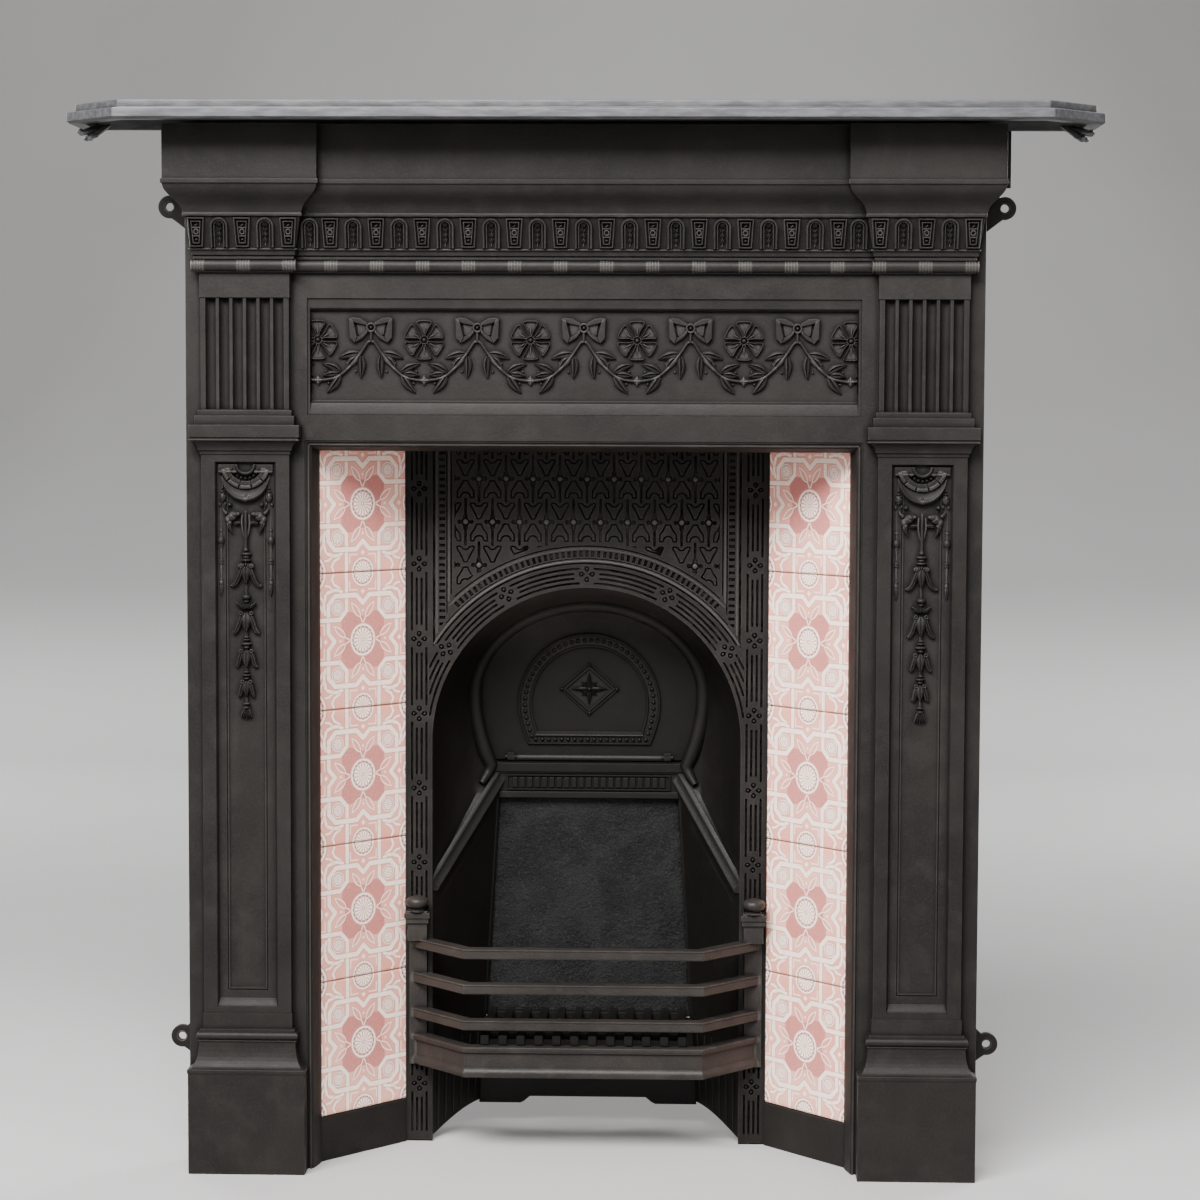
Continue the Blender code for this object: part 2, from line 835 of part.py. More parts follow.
def splay():
    """Unit steps along the tiles' front face, inwards, and behind it."""
    along = ((plate_half - tile_outer[0]) / tile_run, (plate_depth - tile_outer[1]) / tile_run)
    return along, (along[1], -along[0])


def splay_point(run_from_edge, depth):
    """Point at a run from the tile's outer edge and at a depth behind its front face."""
    along, behind = splay()
    shift = run_from_edge - tile_cover
    return (tile_outer[0] + along[0] * shift + behind[0] * depth,
            tile_outer[1] + along[1] * shift + behind[1] * depth)


def tile_plan():
    return [splay_point(0.0, 0.0), splay_point(tile_size, 0.0),
            splay_point(tile_size, tile_thickness), splay_point(0.0, tile_thickness)]


def both_halves(points):
    return points + [(-x, y) for x, y in reversed(points)]


def insert_front():
    """Plan of the insert's front face, from the frame's outer edge to the plate's edge."""
    half = opening_half - fit_gap
    along, behind = splay()
    slide = tray_proud * behind[1] / along[1]
    plate_edge = (plate_half - behind[0] * tray_proud + along[0] * slide, plate_depth)
    return [(half, frieze_plane), (half - frame_bevel_width, frieze_plane + frame_bevel_depth),
            splay_point(tile_cover, -tray_proud), plate_edge]


def insert_back():
    """Plan of the insert's back, from behind the surround's face to the back of the plate."""
    deep = tile_thickness + tile_play + channel_wall
    seat = frieze_plane + iron + fit_gap
    end = tile_size + tile_play + channel_wall
    return [(opening_half - fit_gap, seat), (opening_half + frame_flange, seat),
            splay_point(-tile_play - channel_wall, deep), splay_point(end, deep),
            splay_point(end, -tile_play),
            (splay_point(end, -tile_play)[0] - channel_wall / 2, plate_depth + plate_thickness)]


def insert_body():
    outline = both_halves(insert_front()) + both_halves(insert_back())[::-1]
    return plan_prism(outline, 0.0, tiles_top + soffit_thickness)


def soffit():
    seat = insert_back()
    return plan_prism(both_halves(seat[1:]), tiles_top, tiles_top + soffit_thickness)


def frame_head():
    """Bevelled rail across the top of the tiles, with its web up to the soffit."""
    seat = frieze_plane + iron + fit_gap
    top = opening_height - fit_gap
    web = tiles_top + soffit_thickness
    low = top - frame_bevel_width
    deep = frieze_plane + frame_bevel_depth
    section = [(frieze_plane, top), (deep, low), (deep + channel_wall, low),
               (deep + channel_wall, top - frame_bevel_width / 4), (seat + channel_wall, top + channel_wall),
               (seat + channel_wall, web), (seat, web), (seat, top)]
    half = opening_half - fit_gap
    return loft([[(x, y, z) for y, z in section] for x in (-half, half)])


def tile_pocket():
    back = tile_thickness + tile_play
    end = tile_size + tile_play
    window = -4 * channel_wall
    outline = [splay_point(-tile_play, back), splay_point(end, back), splay_point(end, -tile_play),
               splay_point(tile_cover + tile_run, -tile_play), splay_point(tile_cover + tile_run, window),
               splay_point(tile_cover, window), splay_point(tile_cover, -tile_play),
               splay_point(-tile_play, -tile_play)]
    return plan_prism(outline, tile_ledge_height - fit_gap, tiles_top)


def arc_path(radius, half_angle, segments):
    points = []
    for step in range(segments + 1):
        angle = math.pi / 2 + half_angle - 2 * half_angle * step / segments
        points.append((radius * math.cos(angle), arch_centre_height + radius * math.sin(angle)))
    return points


def arc_band(r0, r1, half_angle, y0, y1):
    inner = arc_path(r0, half_angle, arch_segments)
    outer = arc_path(r1, half_angle, arch_segments)
    return front_prism(inner + outer[::-1], y0, y1)


def arch_cut():
    low = [(arch_radius, -iron), (-arch_radius, -iron)]
    outline = low + arc_path(arch_radius, math.pi / 2, arch_segments)
    return front_prism(outline, plate_depth - iron, plate_depth + 2 * plate_thickness)


def strip_grooves():
    y0 = plate_depth - reed_depth
    y1 = plate_depth + reed_depth
    shapes = []
    for index in range(reed_grooves):
        x = arch_radius + reed_margin + index * reed_pitch
        groove = box(x - reed_width / 2, x + reed_width / 2, y0, y1, -iron, opening_height)
        shapes += [groove, mirrored(groove)]
    return shapes


def arch_bands():
    """Reeded band round the arch, its outer bead and the dentil band."""
    shapes = []
    y = plate_depth + plate_thickness / 2
    reach = math.radians(66)
    band = arch_radius + reed_margin + (reed_grooves - 1) * reed_pitch + reed_margin
    shapes.append(arc_band(arch_radius, band, reach, plate_depth - arch_band_relief, y))
    shapes.append(arc_band(dentil_radius, dentil_radius + dentil_width, reach - math.radians(10),
                           plate_depth - arch_band_relief, y))
    return shapes


def build_insert(parent, material):
    insert = make_object("tiled_insert", insert_body(), parent, material)
    joined = make_guide("insert_head", join_shapes([soffit(), frame_head()]), parent)
    boolean(insert, joined, "UNION", True)
    half = opening_half + frame_flange + iron
    clearance = box(-half, half, 0.0, frieze_plane + iron + fit_gap, opening_height - fit_gap, total_height)
    pocket = tile_pocket()
    cuts = [clearance, pocket, mirrored(pocket)]
    boolean(insert, make_guide("insert_pockets", join_shapes(cuts), parent), "DIFFERENCE", True)
    boolean(insert, make_guide("insert_bands", join_shapes(arch_bands()), parent), "UNION")
    boolean(insert, make_guide("insert_arch", join_shapes([arch_cut()]), parent), "DIFFERENCE")
    boolean(insert, make_guide("insert_grooves", join_shapes(strip_grooves()), parent), "DIFFERENCE")
    merge_flats(insert)
    return insert


def build_tiles(parent, material):
    for side, word in ((-1, "left"), (1, "right")):
        for row in range(tile_rows):
            low = tile_ledge_height + row * (tile_size + tile_joint)
            shape = plan_prism(tile_plan(), low, low + tile_size)
            if side < 0:
                shape = mirrored(shape)
            make_object(f"tile_{word}_{row + 1}", shape, parent, material)


# Hood and firebox casting

def hood_paths():
    """Front and back outlines of the hood's right half, from the skirt up to the crown."""
    jamb = hood_front_ledge + ledge_height / 2
    front = [(arch_radius, skirt_front_height), (arch_radius, hood_front_ledge), (arch_radius, jamb)]
    back = [(cheek_back_half_bottom, skirt_back_height), (cheek_back_half_top, hood_back_ledge)]
    back += throat_jamb(throat_bottom_half, throat_half, throat_bottom)
    for share in (0.5, 1.0):
        front.append((arch_radius, jamb + (arch_centre_height - jamb) * share))
    quarter = arch_segments // 4
    for step in range(1, quarter + 1):
        angle = math.pi / 2 * step / quarter
        front.append((arch_radius * math.cos(angle), arch_centre_height + arch_radius * math.sin(angle)))
        back.append((throat_half * math.cos(angle),
                     throat_centre_height + (throat_top - throat_centre_height) * math.sin(angle)))
    return front, back


def throat_jamb(foot, half, bottom):
    """Side of the horseshoe, from its foot out to its full half-width at the arc's centre."""
    points = []
    for share in (0.0, 0.5, 1.0):
        swell = 1 - (1 - share) ** 2
        points.append((foot + (half - foot) * swell, bottom + (throat_centre_height - bottom) * share))
    return points


def outward(points, thickness):
    """Outline moved out by a thickness; the first points stand on the jamb and move sideways."""
    moved = []
    for index, (x, z) in enumerate(points):
        before = points[max(index - 1, 0)]
        last = index + 1 == len(points)
        after = (-before[0], before[1]) if last else points[index + 1]
        run = math.hypot(after[0] - before[0], after[1] - before[1])
        step_x = (after[1] - before[1]) / run * thickness
        step_z = (before[0] - after[0]) / run * thickness
        moved.append((x + step_x, z + step_z))
    return moved


def full_arch(points):
    return points + [(-x, z) for x, z in reversed(points[:-1])]


def hood_shell():
    """Reveal from the arch back to the throat, with the cheeks below the ledges."""
    front, back = hood_paths()
    y0 = plate_depth + plate_thickness + fit_gap
    grid = []
    for row in range(hood_rows + 1):
        share = row / hood_rows
        swell = math.sin(math.pi * share) * hood_swell
        inner = []
        for index, ((x0, z0), (x1, z1)) in enumerate(zip(front, back)):
            blend = share if index < 3 else share - swell
            inner.append((x0 + (x1 - x0) * blend, z0 + (z1 - z0) * blend))
        outer = outward(inner, hood_thickness)
        y = y0 + (hood_back_depth - y0) * share
        grid.append([(x, y, z) for x, z in full_arch(inner) + full_arch(outer)[::-1]])
    return loft(grid)


def cheek_back_half(z):
    """Half the width between the cheeks along their back edges, at a height."""
    share = (z - skirt_back_height) / (hood_back_ledge - skirt_back_height)
    return cheek_back_half_bottom + (cheek_back_half_top - cheek_back_half_bottom) * share


def ledge_bar():
    """Sloping ledge on the cheek, from behind the arch plate up to the band."""
    y0 = plate_depth + plate_thickness + fit_gap
    root = hood_thickness / 2
    rings = []
    front = (arch_radius, hood_front_ledge, y0)
    back = (cheek_back_half_top, hood_back_ledge, hood_back_depth)
    for x, z, y in (front, back):
        rings.append([(x - ledge_width, y, z - ledge_height * 0.7), (x + root, y, z - ledge_height),
                      (x + root, y, z + ledge_height / 2), (x - ledge_width, y, z + ledge_height / 4)])
    return loft(rings)


def throat_lip():
    """Rounded rim round the throat, a bar swept along the back outline."""
    _, back = hood_paths()
    path = full_arch(back[2:])
    sides = 6
    rings = []
    for index, (x, z) in enumerate(path):
        before = path[max(index - 1, 0)]
        after = path[min(index + 1, len(path) - 1)]
        run = math.hypot(after[0] - before[0], after[1] - before[1])
        normal = ((after[1] - before[1]) / run, -(after[0] - before[0]) / run)
        ring = []
        for side in range(sides):
            angle = 2 * math.pi * (side + 0.5) / sides
            reach = lip_radius * math.cos(angle)
            y = hood_back_depth - lip_sink + lip_radius * math.sin(angle)
            ring.append((x + normal[0] * reach, y, z + normal[1] * reach))
        rings.append(ring)
    return loft(rings)


def crossbar():
    """Band above the brick and the shelf on it that closes the throat below the damper."""
    half = cheek_back_half_top + hood_thickness / 2
    y0 = hood_back_depth - band_thickness / 2
    top = hood_back_ledge + ledge_height / 6
    band = box(-half, half, y0, y0 + band_thickness, top - band_height, top)
    wide = half + ledge_width / 2
    sill = box(-wide, wide, y0 - ledge_width / 3, hood_back_depth + sill_depth,
               top - hairline, throat_bottom - damper_gap / 2)
    return [band, sill]


def back_plate():
    """Plate below the brick with an arched foot, and the shelf that the brick stands on."""
    top = grate_seat
    half_low = cheek_back_half(skirt_back_height) + hood_thickness / 2
    half_top = cheek_back_half(top) + hood_thickness / 2
    y0 = hood_back_depth - hood_thickness / 2
    arch = half_low * 0.62
    crown = arch * 0.88
    low = skirt_back_height - 0.004
    high = low + 0.008
    outline = [(-half_low, low), (-arch, low), (-crown, high), (crown, high), (arch, low),
               (half_low, low), (half_top, top), (-half_top, top)]
    plate = front_prism(outline, y0, y0 + hood_thickness)
    reach = half_top * 0.9
    y1 = brick_back - brick_thickness / 5
    shelf = box(-reach, reach, y0 + hood_thickness / 2, y1, top - hood_thickness, top)
    return [plate, shelf]


def build_hood(parent, material):
    hood = make_object("hood_casting", hood_shell(), parent, material)
    bar = ledge_bar()
    added = [bar, mirrored(bar), throat_lip()] + crossbar() + back_plate()
    boolean(hood, make_guide("hood_bars", join_shapes(added), parent), "UNION", True)
    merge_flats(hood)
    return hood


# Flue damper

def damper_outline():
    """Flap's outline, which laps a little behind the throat's rim on both sides and the crown."""
    lap = damper_overlap - lip_radius
    half_width = throat_half + lap
    crown = throat_top + lap
    points = throat_jamb(throat_bottom_half + lap, half_width, throat_bottom + damper_gap)
    quarter = arch_segments // 4
    for step in range(1, quarter + 1):
        angle = math.pi / 2 * step / quarter
        points.append((half_width * math.cos(angle),
                       throat_centre_height + (crown - throat_centre_height) * math.sin(angle)))
    return full_arch(points)


def damper_panel(shrink):
    half = damper_panel_half - shrink
    bottom = damper_panel_bottom + shrink
    centre = damper_panel_top - damper_panel_half
    points = [(half * damper_panel_taper, bottom)]
    segments = 12
    for step in range(segments + 1):
        angle = math.pi * step / segments
        points.append((half * math.cos(angle), centre + half * math.sin(angle)))
    points.append((-half * damper_panel_taper, bottom))
    return points


def build_damper(parent, material):
    """Flap whose origin lies on its hinge line; it leans forward against the throat's rim."""
    hinge_z = throat_bottom + damper_gap
    rim_back = hood_back_depth - lip_sink + lip_radius
    lean_depth = (throat_top - hinge_z) * math.tan(damper_lean)
    hinge_y = rim_back + damper_seat_gap + lean_depth + damper_thickness

    def local(points):
        return [(x, z - hinge_z) for x, z in points]

    plate = front_prism(local(damper_outline()), -damper_thickness, 0.0)
    flap = make_object("flue_damper", plate, parent, material)
    flap.location = (0.0, hinge_y, hinge_z)
    flap.rotation_euler = (damper_lean, 0.0, 0.0)
    face = -damper_thickness
    rim = front_prism(local(damper_panel(0.0)), face - damper_relief, face + damper_relief / 2)
    well = front_prism(local(damper_panel(damper_panel_rim)), face - 2 * damper_relief, face)
    centre_z = damper_panel_top - damper_panel_half - hinge_z + lozenge_rise
    lozenge = []
    for depth, scale in ((damper_relief / 2, 1.0), (-damper_relief * 0.6, 1.0), (-damper_relief, 0.85)):
        half_w = damper_lozenge_width / 2 * scale
        half_h = damper_lozenge_height / 2 * scale
        lozenge.append((face + depth, [(half_w, centre_z), (0.0, centre_z + half_h), (-half_w, centre_z),
                                       (0.0, centre_z - half_h)]))
    half = damper_lug_width / 2
    lug = box(damper_lug_x - half, damper_lug_x + half, face - damper_relief, face / 4,
              -damper_gap / 3, damper_lug_width)
    roll = box(-damper_lug_x, damper_lug_x, face - damper_relief / 2, face / 2,
               -damper_gap / 6, damper_roll_height)
    for name, shapes, operation in (("damper_rim", [rim], "UNION"), ("damper_well", [well], "DIFFERENCE"),
                                    ("damper_roll", [roll], "UNION"),
                                    ("damper_lozenge", [front_stack(lozenge), lug, mirrored(lug)], "UNION")):
        boolean(flap, make_guide(name, join_shapes(shapes), flap), operation)
    merge_flats(flap)
    return flap


# Firebrick, grate and front bars

def build_brick(parent, material):
    y0 = hood_back_depth + band_thickness / 2 + fit_gap
    low = grate_seat + fit_gap
    top = hood_back_ledge - 2 * fit_gap
    halves = [cheek_back_half(z) + hood_thickness - brick_gap for z in (low, top)]
    outline = [(-halves[0], low), (halves[0], low), (halves[1], top), (-halves[1], top)]
    brick = make_object("fireback_brick", front_prism(outline, y0, brick_back), parent, material)
    modifier = brick.modifiers.new("worn_edges", "BEVEL")
    modifier.width = brick_wear
    modifier.segments = 1
    return brick


def build_grate(parent, material):
    low = grate_seat + fit_gap
    top = low + grate_thickness
    front = bars_front_depth + bar_depth / 2
    back = hood_back_depth - hood_thickness / 2 - fit_gap
    half = cheek_back_half(top) - grate_clearance
    pitch = (2 * half - grate_bar_width) / (grate_bars - 1)
    inset = grate_thickness * 0.15
    cross = [box(-half, half, y, y + grate_rail, low + inset, top - inset)
             for y in (front + 2 * grate_rail, back - 1.5 * grate_rail)]
    fingers = []
    for index in range(grate_bars):
        x = -half + index * pitch
        fingers.append(box(x, x + grate_bar_width, front, back, low, top))
    grate = make_object("bottom_grate", join_shapes(cross), parent, material)
    boolean(grate, make_guide("grate_fingers", join_shapes(fingers), parent), "UNION")
    return grate


def bar_plan(inset, depth):
    """Plan of one canted bar, between a front line and a line one depth behind it."""
    corner = bars_front_half
    end = bars_end_half
    front = bars_front_depth
    back = plate_depth - 2 * fit_gap
    cant = math.atan2(back - front, end - corner)
    turn = math.tan(cant / 2)

    def line(step):
        shift = step / math.sin(cant)
        return [(end - shift, back), (corner - step * turn, front + step),
                (-corner + step * turn, front + step), (-end + shift, back)]

    return line(inset) + line(depth)[::-1]


def knob_shape(x, back):
    """Flattened round knob that stands in front of the plate."""
    sides = 10
    rings = 5
    centre = back - knob_radius - fit_gap
    levels = []
    for step in range(rings):
        angle = math.radians(-60 + 120 * step / (rings - 1))
        radius = knob_radius * math.cos(angle)
        z = knob_height + knob_radius * (math.sin(angle) / 2 - 0.3)
        levels.append([(x + radius * math.cos(2 * math.pi * k / sides),
                        centre + radius * math.sin(2 * math.pi * k / sides), z) for k in range(sides)])
    return loft(levels)


def end_post(x, back):
    """Post behind the ends of the bars, with its pedestal and knob."""
    half = post_width / 2
    y1 = back - post_setback
    top = knob_height - knob_radius * 0.4
    post = box(x - half, x + half, y1 - post_depth, y1, apron_bottom - hairline, top)
    low = knob_height - 2 * knob_radius
    wide = knob_radius * 0.8
    pedestal = box(x - wide, x + wide, back - knob_radius * 1.7, back - post_setback / 2,
                   low, low + pedestal_height)
    return [post, pedestal, knob_shape(x, back)]


def build_front_bars(parent, material):
    shapes = []
    for top in bar_tops:
        levels = ((top - bar_face, bar_foot_inset), (top - bar_face / 2, 0.0), (top, bar_top_inset))
        shapes.append(loft([[(x, y, z) for x, y in bar_plan(inset, bar_depth)] for z, inset in levels]))
    shapes.append(plan_prism(bar_plan(apron_fillet / 2, bar_depth), apron_bottom, apron_top))
    for z in (apron_bottom, apron_top - apron_fillet):
        shapes.append(plan_prism(bar_plan(0.0, bar_depth * 0.9), z, z + apron_fillet))
    back = plate_depth - 2 * fit_gap
    for side in (-1, 1):
        shapes += end_post(side * knob_x, back)
    bars = make_object("front_bars", shapes[0], parent, material)
    boolean(bars, make_guide("front_bars_parts", join_shapes(shapes[1:]), parent), "UNION", True)
    merge_flats(bars)
    return bars


def main():
    clear_scene()
    parent = bpy.data.objects.new("fireplace_origin", None)
    bpy.context.scene.collection.objects.link(parent)
    parent.location = (0.0, -depth_centre, 0.0)
    black_iron = make_material("black_iron", (0.028, 0.026, 0.024), 0.42, 0.85)
    glazed_tile = make_material("glazed_tile", (0.74, 0.52, 0.46), 0.22, 0.0)
    firebrick = make_material("firebrick", (0.03, 0.03, 0.032), 0.95, 0.0)
    build_surround(parent, black_iron)
    build_shelf(parent, black_iron)
    build_insert(parent, black_iron)
    build_tiles(parent, glazed_tile)
    build_hood(parent, black_iron)
    build_damper(parent, black_iron)
    build_brick(parent, firebrick)
    build_grate(parent, black_iron)
    build_front_bars(parent, black_iron)


main()
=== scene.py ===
import math
import random

import bmesh
import bpy
import numpy as np
from mathutils import Matrix, Vector, geometry, noise


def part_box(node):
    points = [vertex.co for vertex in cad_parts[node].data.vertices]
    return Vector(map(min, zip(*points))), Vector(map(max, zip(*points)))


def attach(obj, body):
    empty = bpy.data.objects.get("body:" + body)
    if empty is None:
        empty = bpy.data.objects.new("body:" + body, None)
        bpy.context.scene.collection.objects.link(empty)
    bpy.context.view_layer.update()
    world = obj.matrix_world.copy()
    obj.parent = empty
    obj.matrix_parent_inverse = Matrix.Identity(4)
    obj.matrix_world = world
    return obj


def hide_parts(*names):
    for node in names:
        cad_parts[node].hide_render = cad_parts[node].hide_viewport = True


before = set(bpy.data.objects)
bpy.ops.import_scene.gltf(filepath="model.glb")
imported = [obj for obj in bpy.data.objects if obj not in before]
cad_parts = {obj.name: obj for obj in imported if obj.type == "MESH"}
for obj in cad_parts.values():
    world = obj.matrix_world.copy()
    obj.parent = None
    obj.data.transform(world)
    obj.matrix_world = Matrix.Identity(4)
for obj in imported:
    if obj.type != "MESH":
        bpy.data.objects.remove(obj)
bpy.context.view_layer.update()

# Depths are counted from the plinth's front face, positive towards the wall, in metres.
wall_depth = 0.075
depth_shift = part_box("mantel_shelf")[1][1] - wall_depth
main_body = "fireplace"
flap_body = "damper"
mm = 0.001

# Sizes of the frame that the pieces below repeat
total_height = 1.170
opening_half = 0.3015
opening_height = 0.806
iron = 0.006
shaft_inner = 0.320
shaft_outer = 0.417
shaft_centre = 0.3685
flange_half = 0.435
shaft_front = 0.016
frieze_plane = 0.027
shelf_bottom = 1.149
plate_depth = 0.153
plate_thickness = 0.006
plate_half = 0.207
arch_radius = 0.176
arch_centre = 0.465
hood_back = 0.246
fit_gap = 0.0003

random.seed(11)


# ---- Shapes: pairs of vertex and face lists ----

def join(shapes):
    verts = []
    faces = []
    for shape_verts, shape_faces in shapes:
        start = len(verts)
        verts.extend(shape_verts)
        faces.extend([tuple(index + start for index in face) for face in shape_faces])
    return verts, faces


def loft(rings, caps=True):
    size = len(rings[0])
    verts = [tuple(point) for ring in rings for point in ring]
    faces = []
    if caps:
        faces = [tuple(range(size)), tuple(range(len(verts) - size, len(verts)))]
    for row in range(len(rings) - 1):
        low = row * size
        high = low + size
        for column in range(size):
            across = (column + 1) % size
            faces.append((low + column, low + across, high + across, high + column))
    return verts, faces


def torus_loft(rings):
    size = len(rings[0])
    verts = [tuple(point) for ring in rings for point in ring]
    faces = []
    for row in range(len(rings)):
        low = row * size
        high = ((row + 1) % len(rings)) * size
        for column in range(size):
            across = (column + 1) % size
            faces.append((low + column, low + across, high + across, high + column))
    return verts, faces


def warp(shape, change):
    verts, faces = shape
    return [change(*point) for point in verts], faces


def mirrored(shape):
    verts, faces = shape
    return [(-x, y, z) for x, y, z in verts], faces


def both(shapes):
    return list(shapes) + [mirrored(shape) for shape in shapes]


def shifted(shape, dx=0.0, dy=0.0, dz=0.0):
    verts, faces = shape
    return [(x + dx, y + dy, z + dz) for x, y, z in verts], faces


def fillet(points, radius, segments=2, closed=False, keep=()):
    """Rounds the corners of a line of 2-D points; every corner gets the same number of points."""
    out = []
    count = len(points)
    for index, point in enumerate(points):
        if not closed and index in (0, count - 1):
            out.append(point)
            continue
        before = points[index - 1]
        after = points[(index + 1) % count]
        reach_a = math.hypot(before[0] - point[0], before[1] - point[1])
        reach_b = math.hypot(after[0] - point[0], after[1] - point[1])
        if index in keep or reach_a < 1e-7 or reach_b < 1e-7:
            out.extend([point] * (segments + 1 if index not in keep else 1))
            continue
        cut = min(radius, 0.42 * reach_a, 0.42 * reach_b)
        start = (point[0] + (before[0] - point[0]) * cut / reach_a, point[1] + (before[1] - point[1]) * cut / reach_a)
        end = (point[0] + (after[0] - point[0]) * cut / reach_b, point[1] + (after[1] - point[1]) * cut / reach_b)
        for step in range(segments + 1):
            t = step / segments
            out.append(tuple((1 - t) ** 2 * start[k] + 2 * t * (1 - t) * point[k] + t ** 2 * end[k] for k in (0, 1)))
    return out


def area_of(points):
    total = 0.0
    for (x0, z0), (x1, z1) in zip(points, points[1:] + points[:1]):
        total += x0 * z1 - x1 * z0
    return total / 2


def offset(points, margin):
    """Closed outline moved inwards by a margin, or outwards by a negative one."""
    sign = 1.0 if area_of(points) > 0 else -1.0
    count = len(points)
    moved = []
    for index, (x, z) in enumerate(points):
        x0, z0 = points[index - 1]
        x1, z1 = points[(index + 1) % count]
        ax, az = x - x0, z - z0
        bx, bz = x1 - x, z1 - z
        la = math.hypot(ax, az) or 1.0
        lb = math.hypot(bx, bz) or 1.0
        nx = -(az / la + bz / lb)
        nz = ax / la + bx / lb
        length = math.hypot(nx, nz)
        if length < 1e-6:
            moved.append((x, z))
            continue
        nx, nz = nx / length, nz / length
        turn = max(0.5, abs(nx * -(az / la) + nz * (ax / la)))
        moved.append((x + nx * margin * sign / turn, z + nz * margin * sign / turn))
    return moved


def stack(levels):
    """Closed shape from front-facing outlines, each given with its height above the face (minus y)."""
    return loft([[(x, -height, z) for x, z in outline] for height, outline in levels])


def emboss(outline, height, edge, sink=1.0 * mm):
    """Flat-topped raised shape with a rounded edge."""
    return stack([(-sink, outline), (height - edge, outline), (height - 0.3 * edge, offset(outline, 0.3 * edge)),
                  (height, offset(outline, edge))])


def dish(outline, height, rim, depth, sink=1.0 * mm):
    """Raised shape with a rounded rim round a hollow middle."""
    return stack([(-sink, outline), (height * 0.6, outline), (height * 0.92, offset(outline, rim * 0.25)),
                  (height, offset(outline, rim * 0.55)), (height * 0.94, offset(outline, rim * 0.85)),
                  (height - depth, offset(outline, rim * 1.3))])


def box(x0, x1, y0, y1, z0, z1, edge=0.0):
    if edge <= 0:
        return loft([[(x0, y0, z), (x1, y0, z), (x1, y1, z), (x0, y1, z)] for z in (z0, z1)])
    rings = []
    for z, inset in ((z0, edge), (z0 + 0.3 * edge, 0.3 * edge), (z0 + edge, 0.0), (z1 - edge, 0.0),
                     (z1 - 0.3 * edge, 0.3 * edge), (z1, edge)):
        outline = fillet([(x0 + inset, y0 + inset), (x1 - inset, y0 + inset), (x1 - inset, y1 - inset),
                          (x0 + inset, y1 - inset)], edge, 2, True)
        rings.append([(x, y, z) for x, y in outline])
    return loft(rings)


def ellipse(x, z, rx, rz, sides, turn=0.0):
    return [(x + rx * math.cos(turn + 2 * math.pi * k / sides), z + rz * math.sin(turn + 2 * math.pi * k / sides))
            for k in range(sides)]


def ball(x, y, z, rx, ry, rz, sides=10, rows=6):
    rings = []
    for row in range(rows + 1):
        angle = math.pi * (0.04 + 0.92 * row / rows)
        rings.append([(x + rx * math.sin(angle) * math.cos(2 * math.pi * k / sides),
                       y - ry * math.cos(angle),
                       z + rz * math.sin(angle) * math.sin(2 * math.pi * k / sides)) for k in range(sides)])
    return loft(rings)


def turned(x, y, levels, sides=14):
    """Turned shape about an upright axis, from height and radius pairs."""
    return loft([[(x + r * math.cos(2 * math.pi * k / sides), y + r * math.sin(2 * math.pi * k / sides), z)
                  for k in range(sides)] for z, r in levels])


def half_turned(x, levels, sides=8, flat=0.75, sink=1.0 * mm):
    """Half-round upright shape on a face, from height and radius pairs."""
    rings = []
    for z, r in levels:
        ring = [(x - r, sink, z)]
        for k in range(sides + 1):
            angle = math.pi * k / sides
            ring.append((x - r * math.cos(angle), -r * flat * math.sin(angle), z))
        ring.append((x + r, sink, z))
        rings.append(ring)
    return loft(rings)


def tube(points, radii, sides=8, flat=1.0):
    """Round bar along a line of 3-D points."""
    rings = []
    count = len(points)
    for index, point in enumerate(points):
        before = Vector(points[max(index - 1, 0)])
        after = Vector(points[min(index + 1, count - 1)])
        along = (after - before).normalized()
        front = Vector((0.0, -1.0, 0.0))
        aside = along.cross(front)
        if aside.length < 1e-4:
            aside = Vector((1.0, 0.0, 0.0))
        aside.normalize()
        lift = aside.cross(along).normalized()
        radius = radii[index] if isinstance(radii, (list, tuple)) else radii
        ring = []
        for side in range(sides):
            angle = 2 * math.pi * side / sides
            spot = Vector(point) + aside * radius * math.cos(angle) + lift * radius * flat * math.sin(angle)
            ring.append(tuple(spot))
        rings.append(ring)
    return loft(rings)


def spline(points, steps):
    """Smooth line through the points."""
    out = []
    count = len(points)
    for index in range(count - 1):
        p0 = points[max(index - 1, 0)]
        p1 = points[index]
        p2 = points[index + 1]
        p3 = points[min(index + 2, count - 1)]
        for step in range(steps):
            t = step / steps
            out.append(tuple(0.5 * (2 * b + (c - a) * t + (2 * a - 5 * b + 4 * c - d) * t * t
                                    + (3 * b - a - 3 * c + d) * t ** 3) for a, b, c, d in zip(p0, p1, p2, p3)))
    out.append(tuple(points[-1]))
    return out


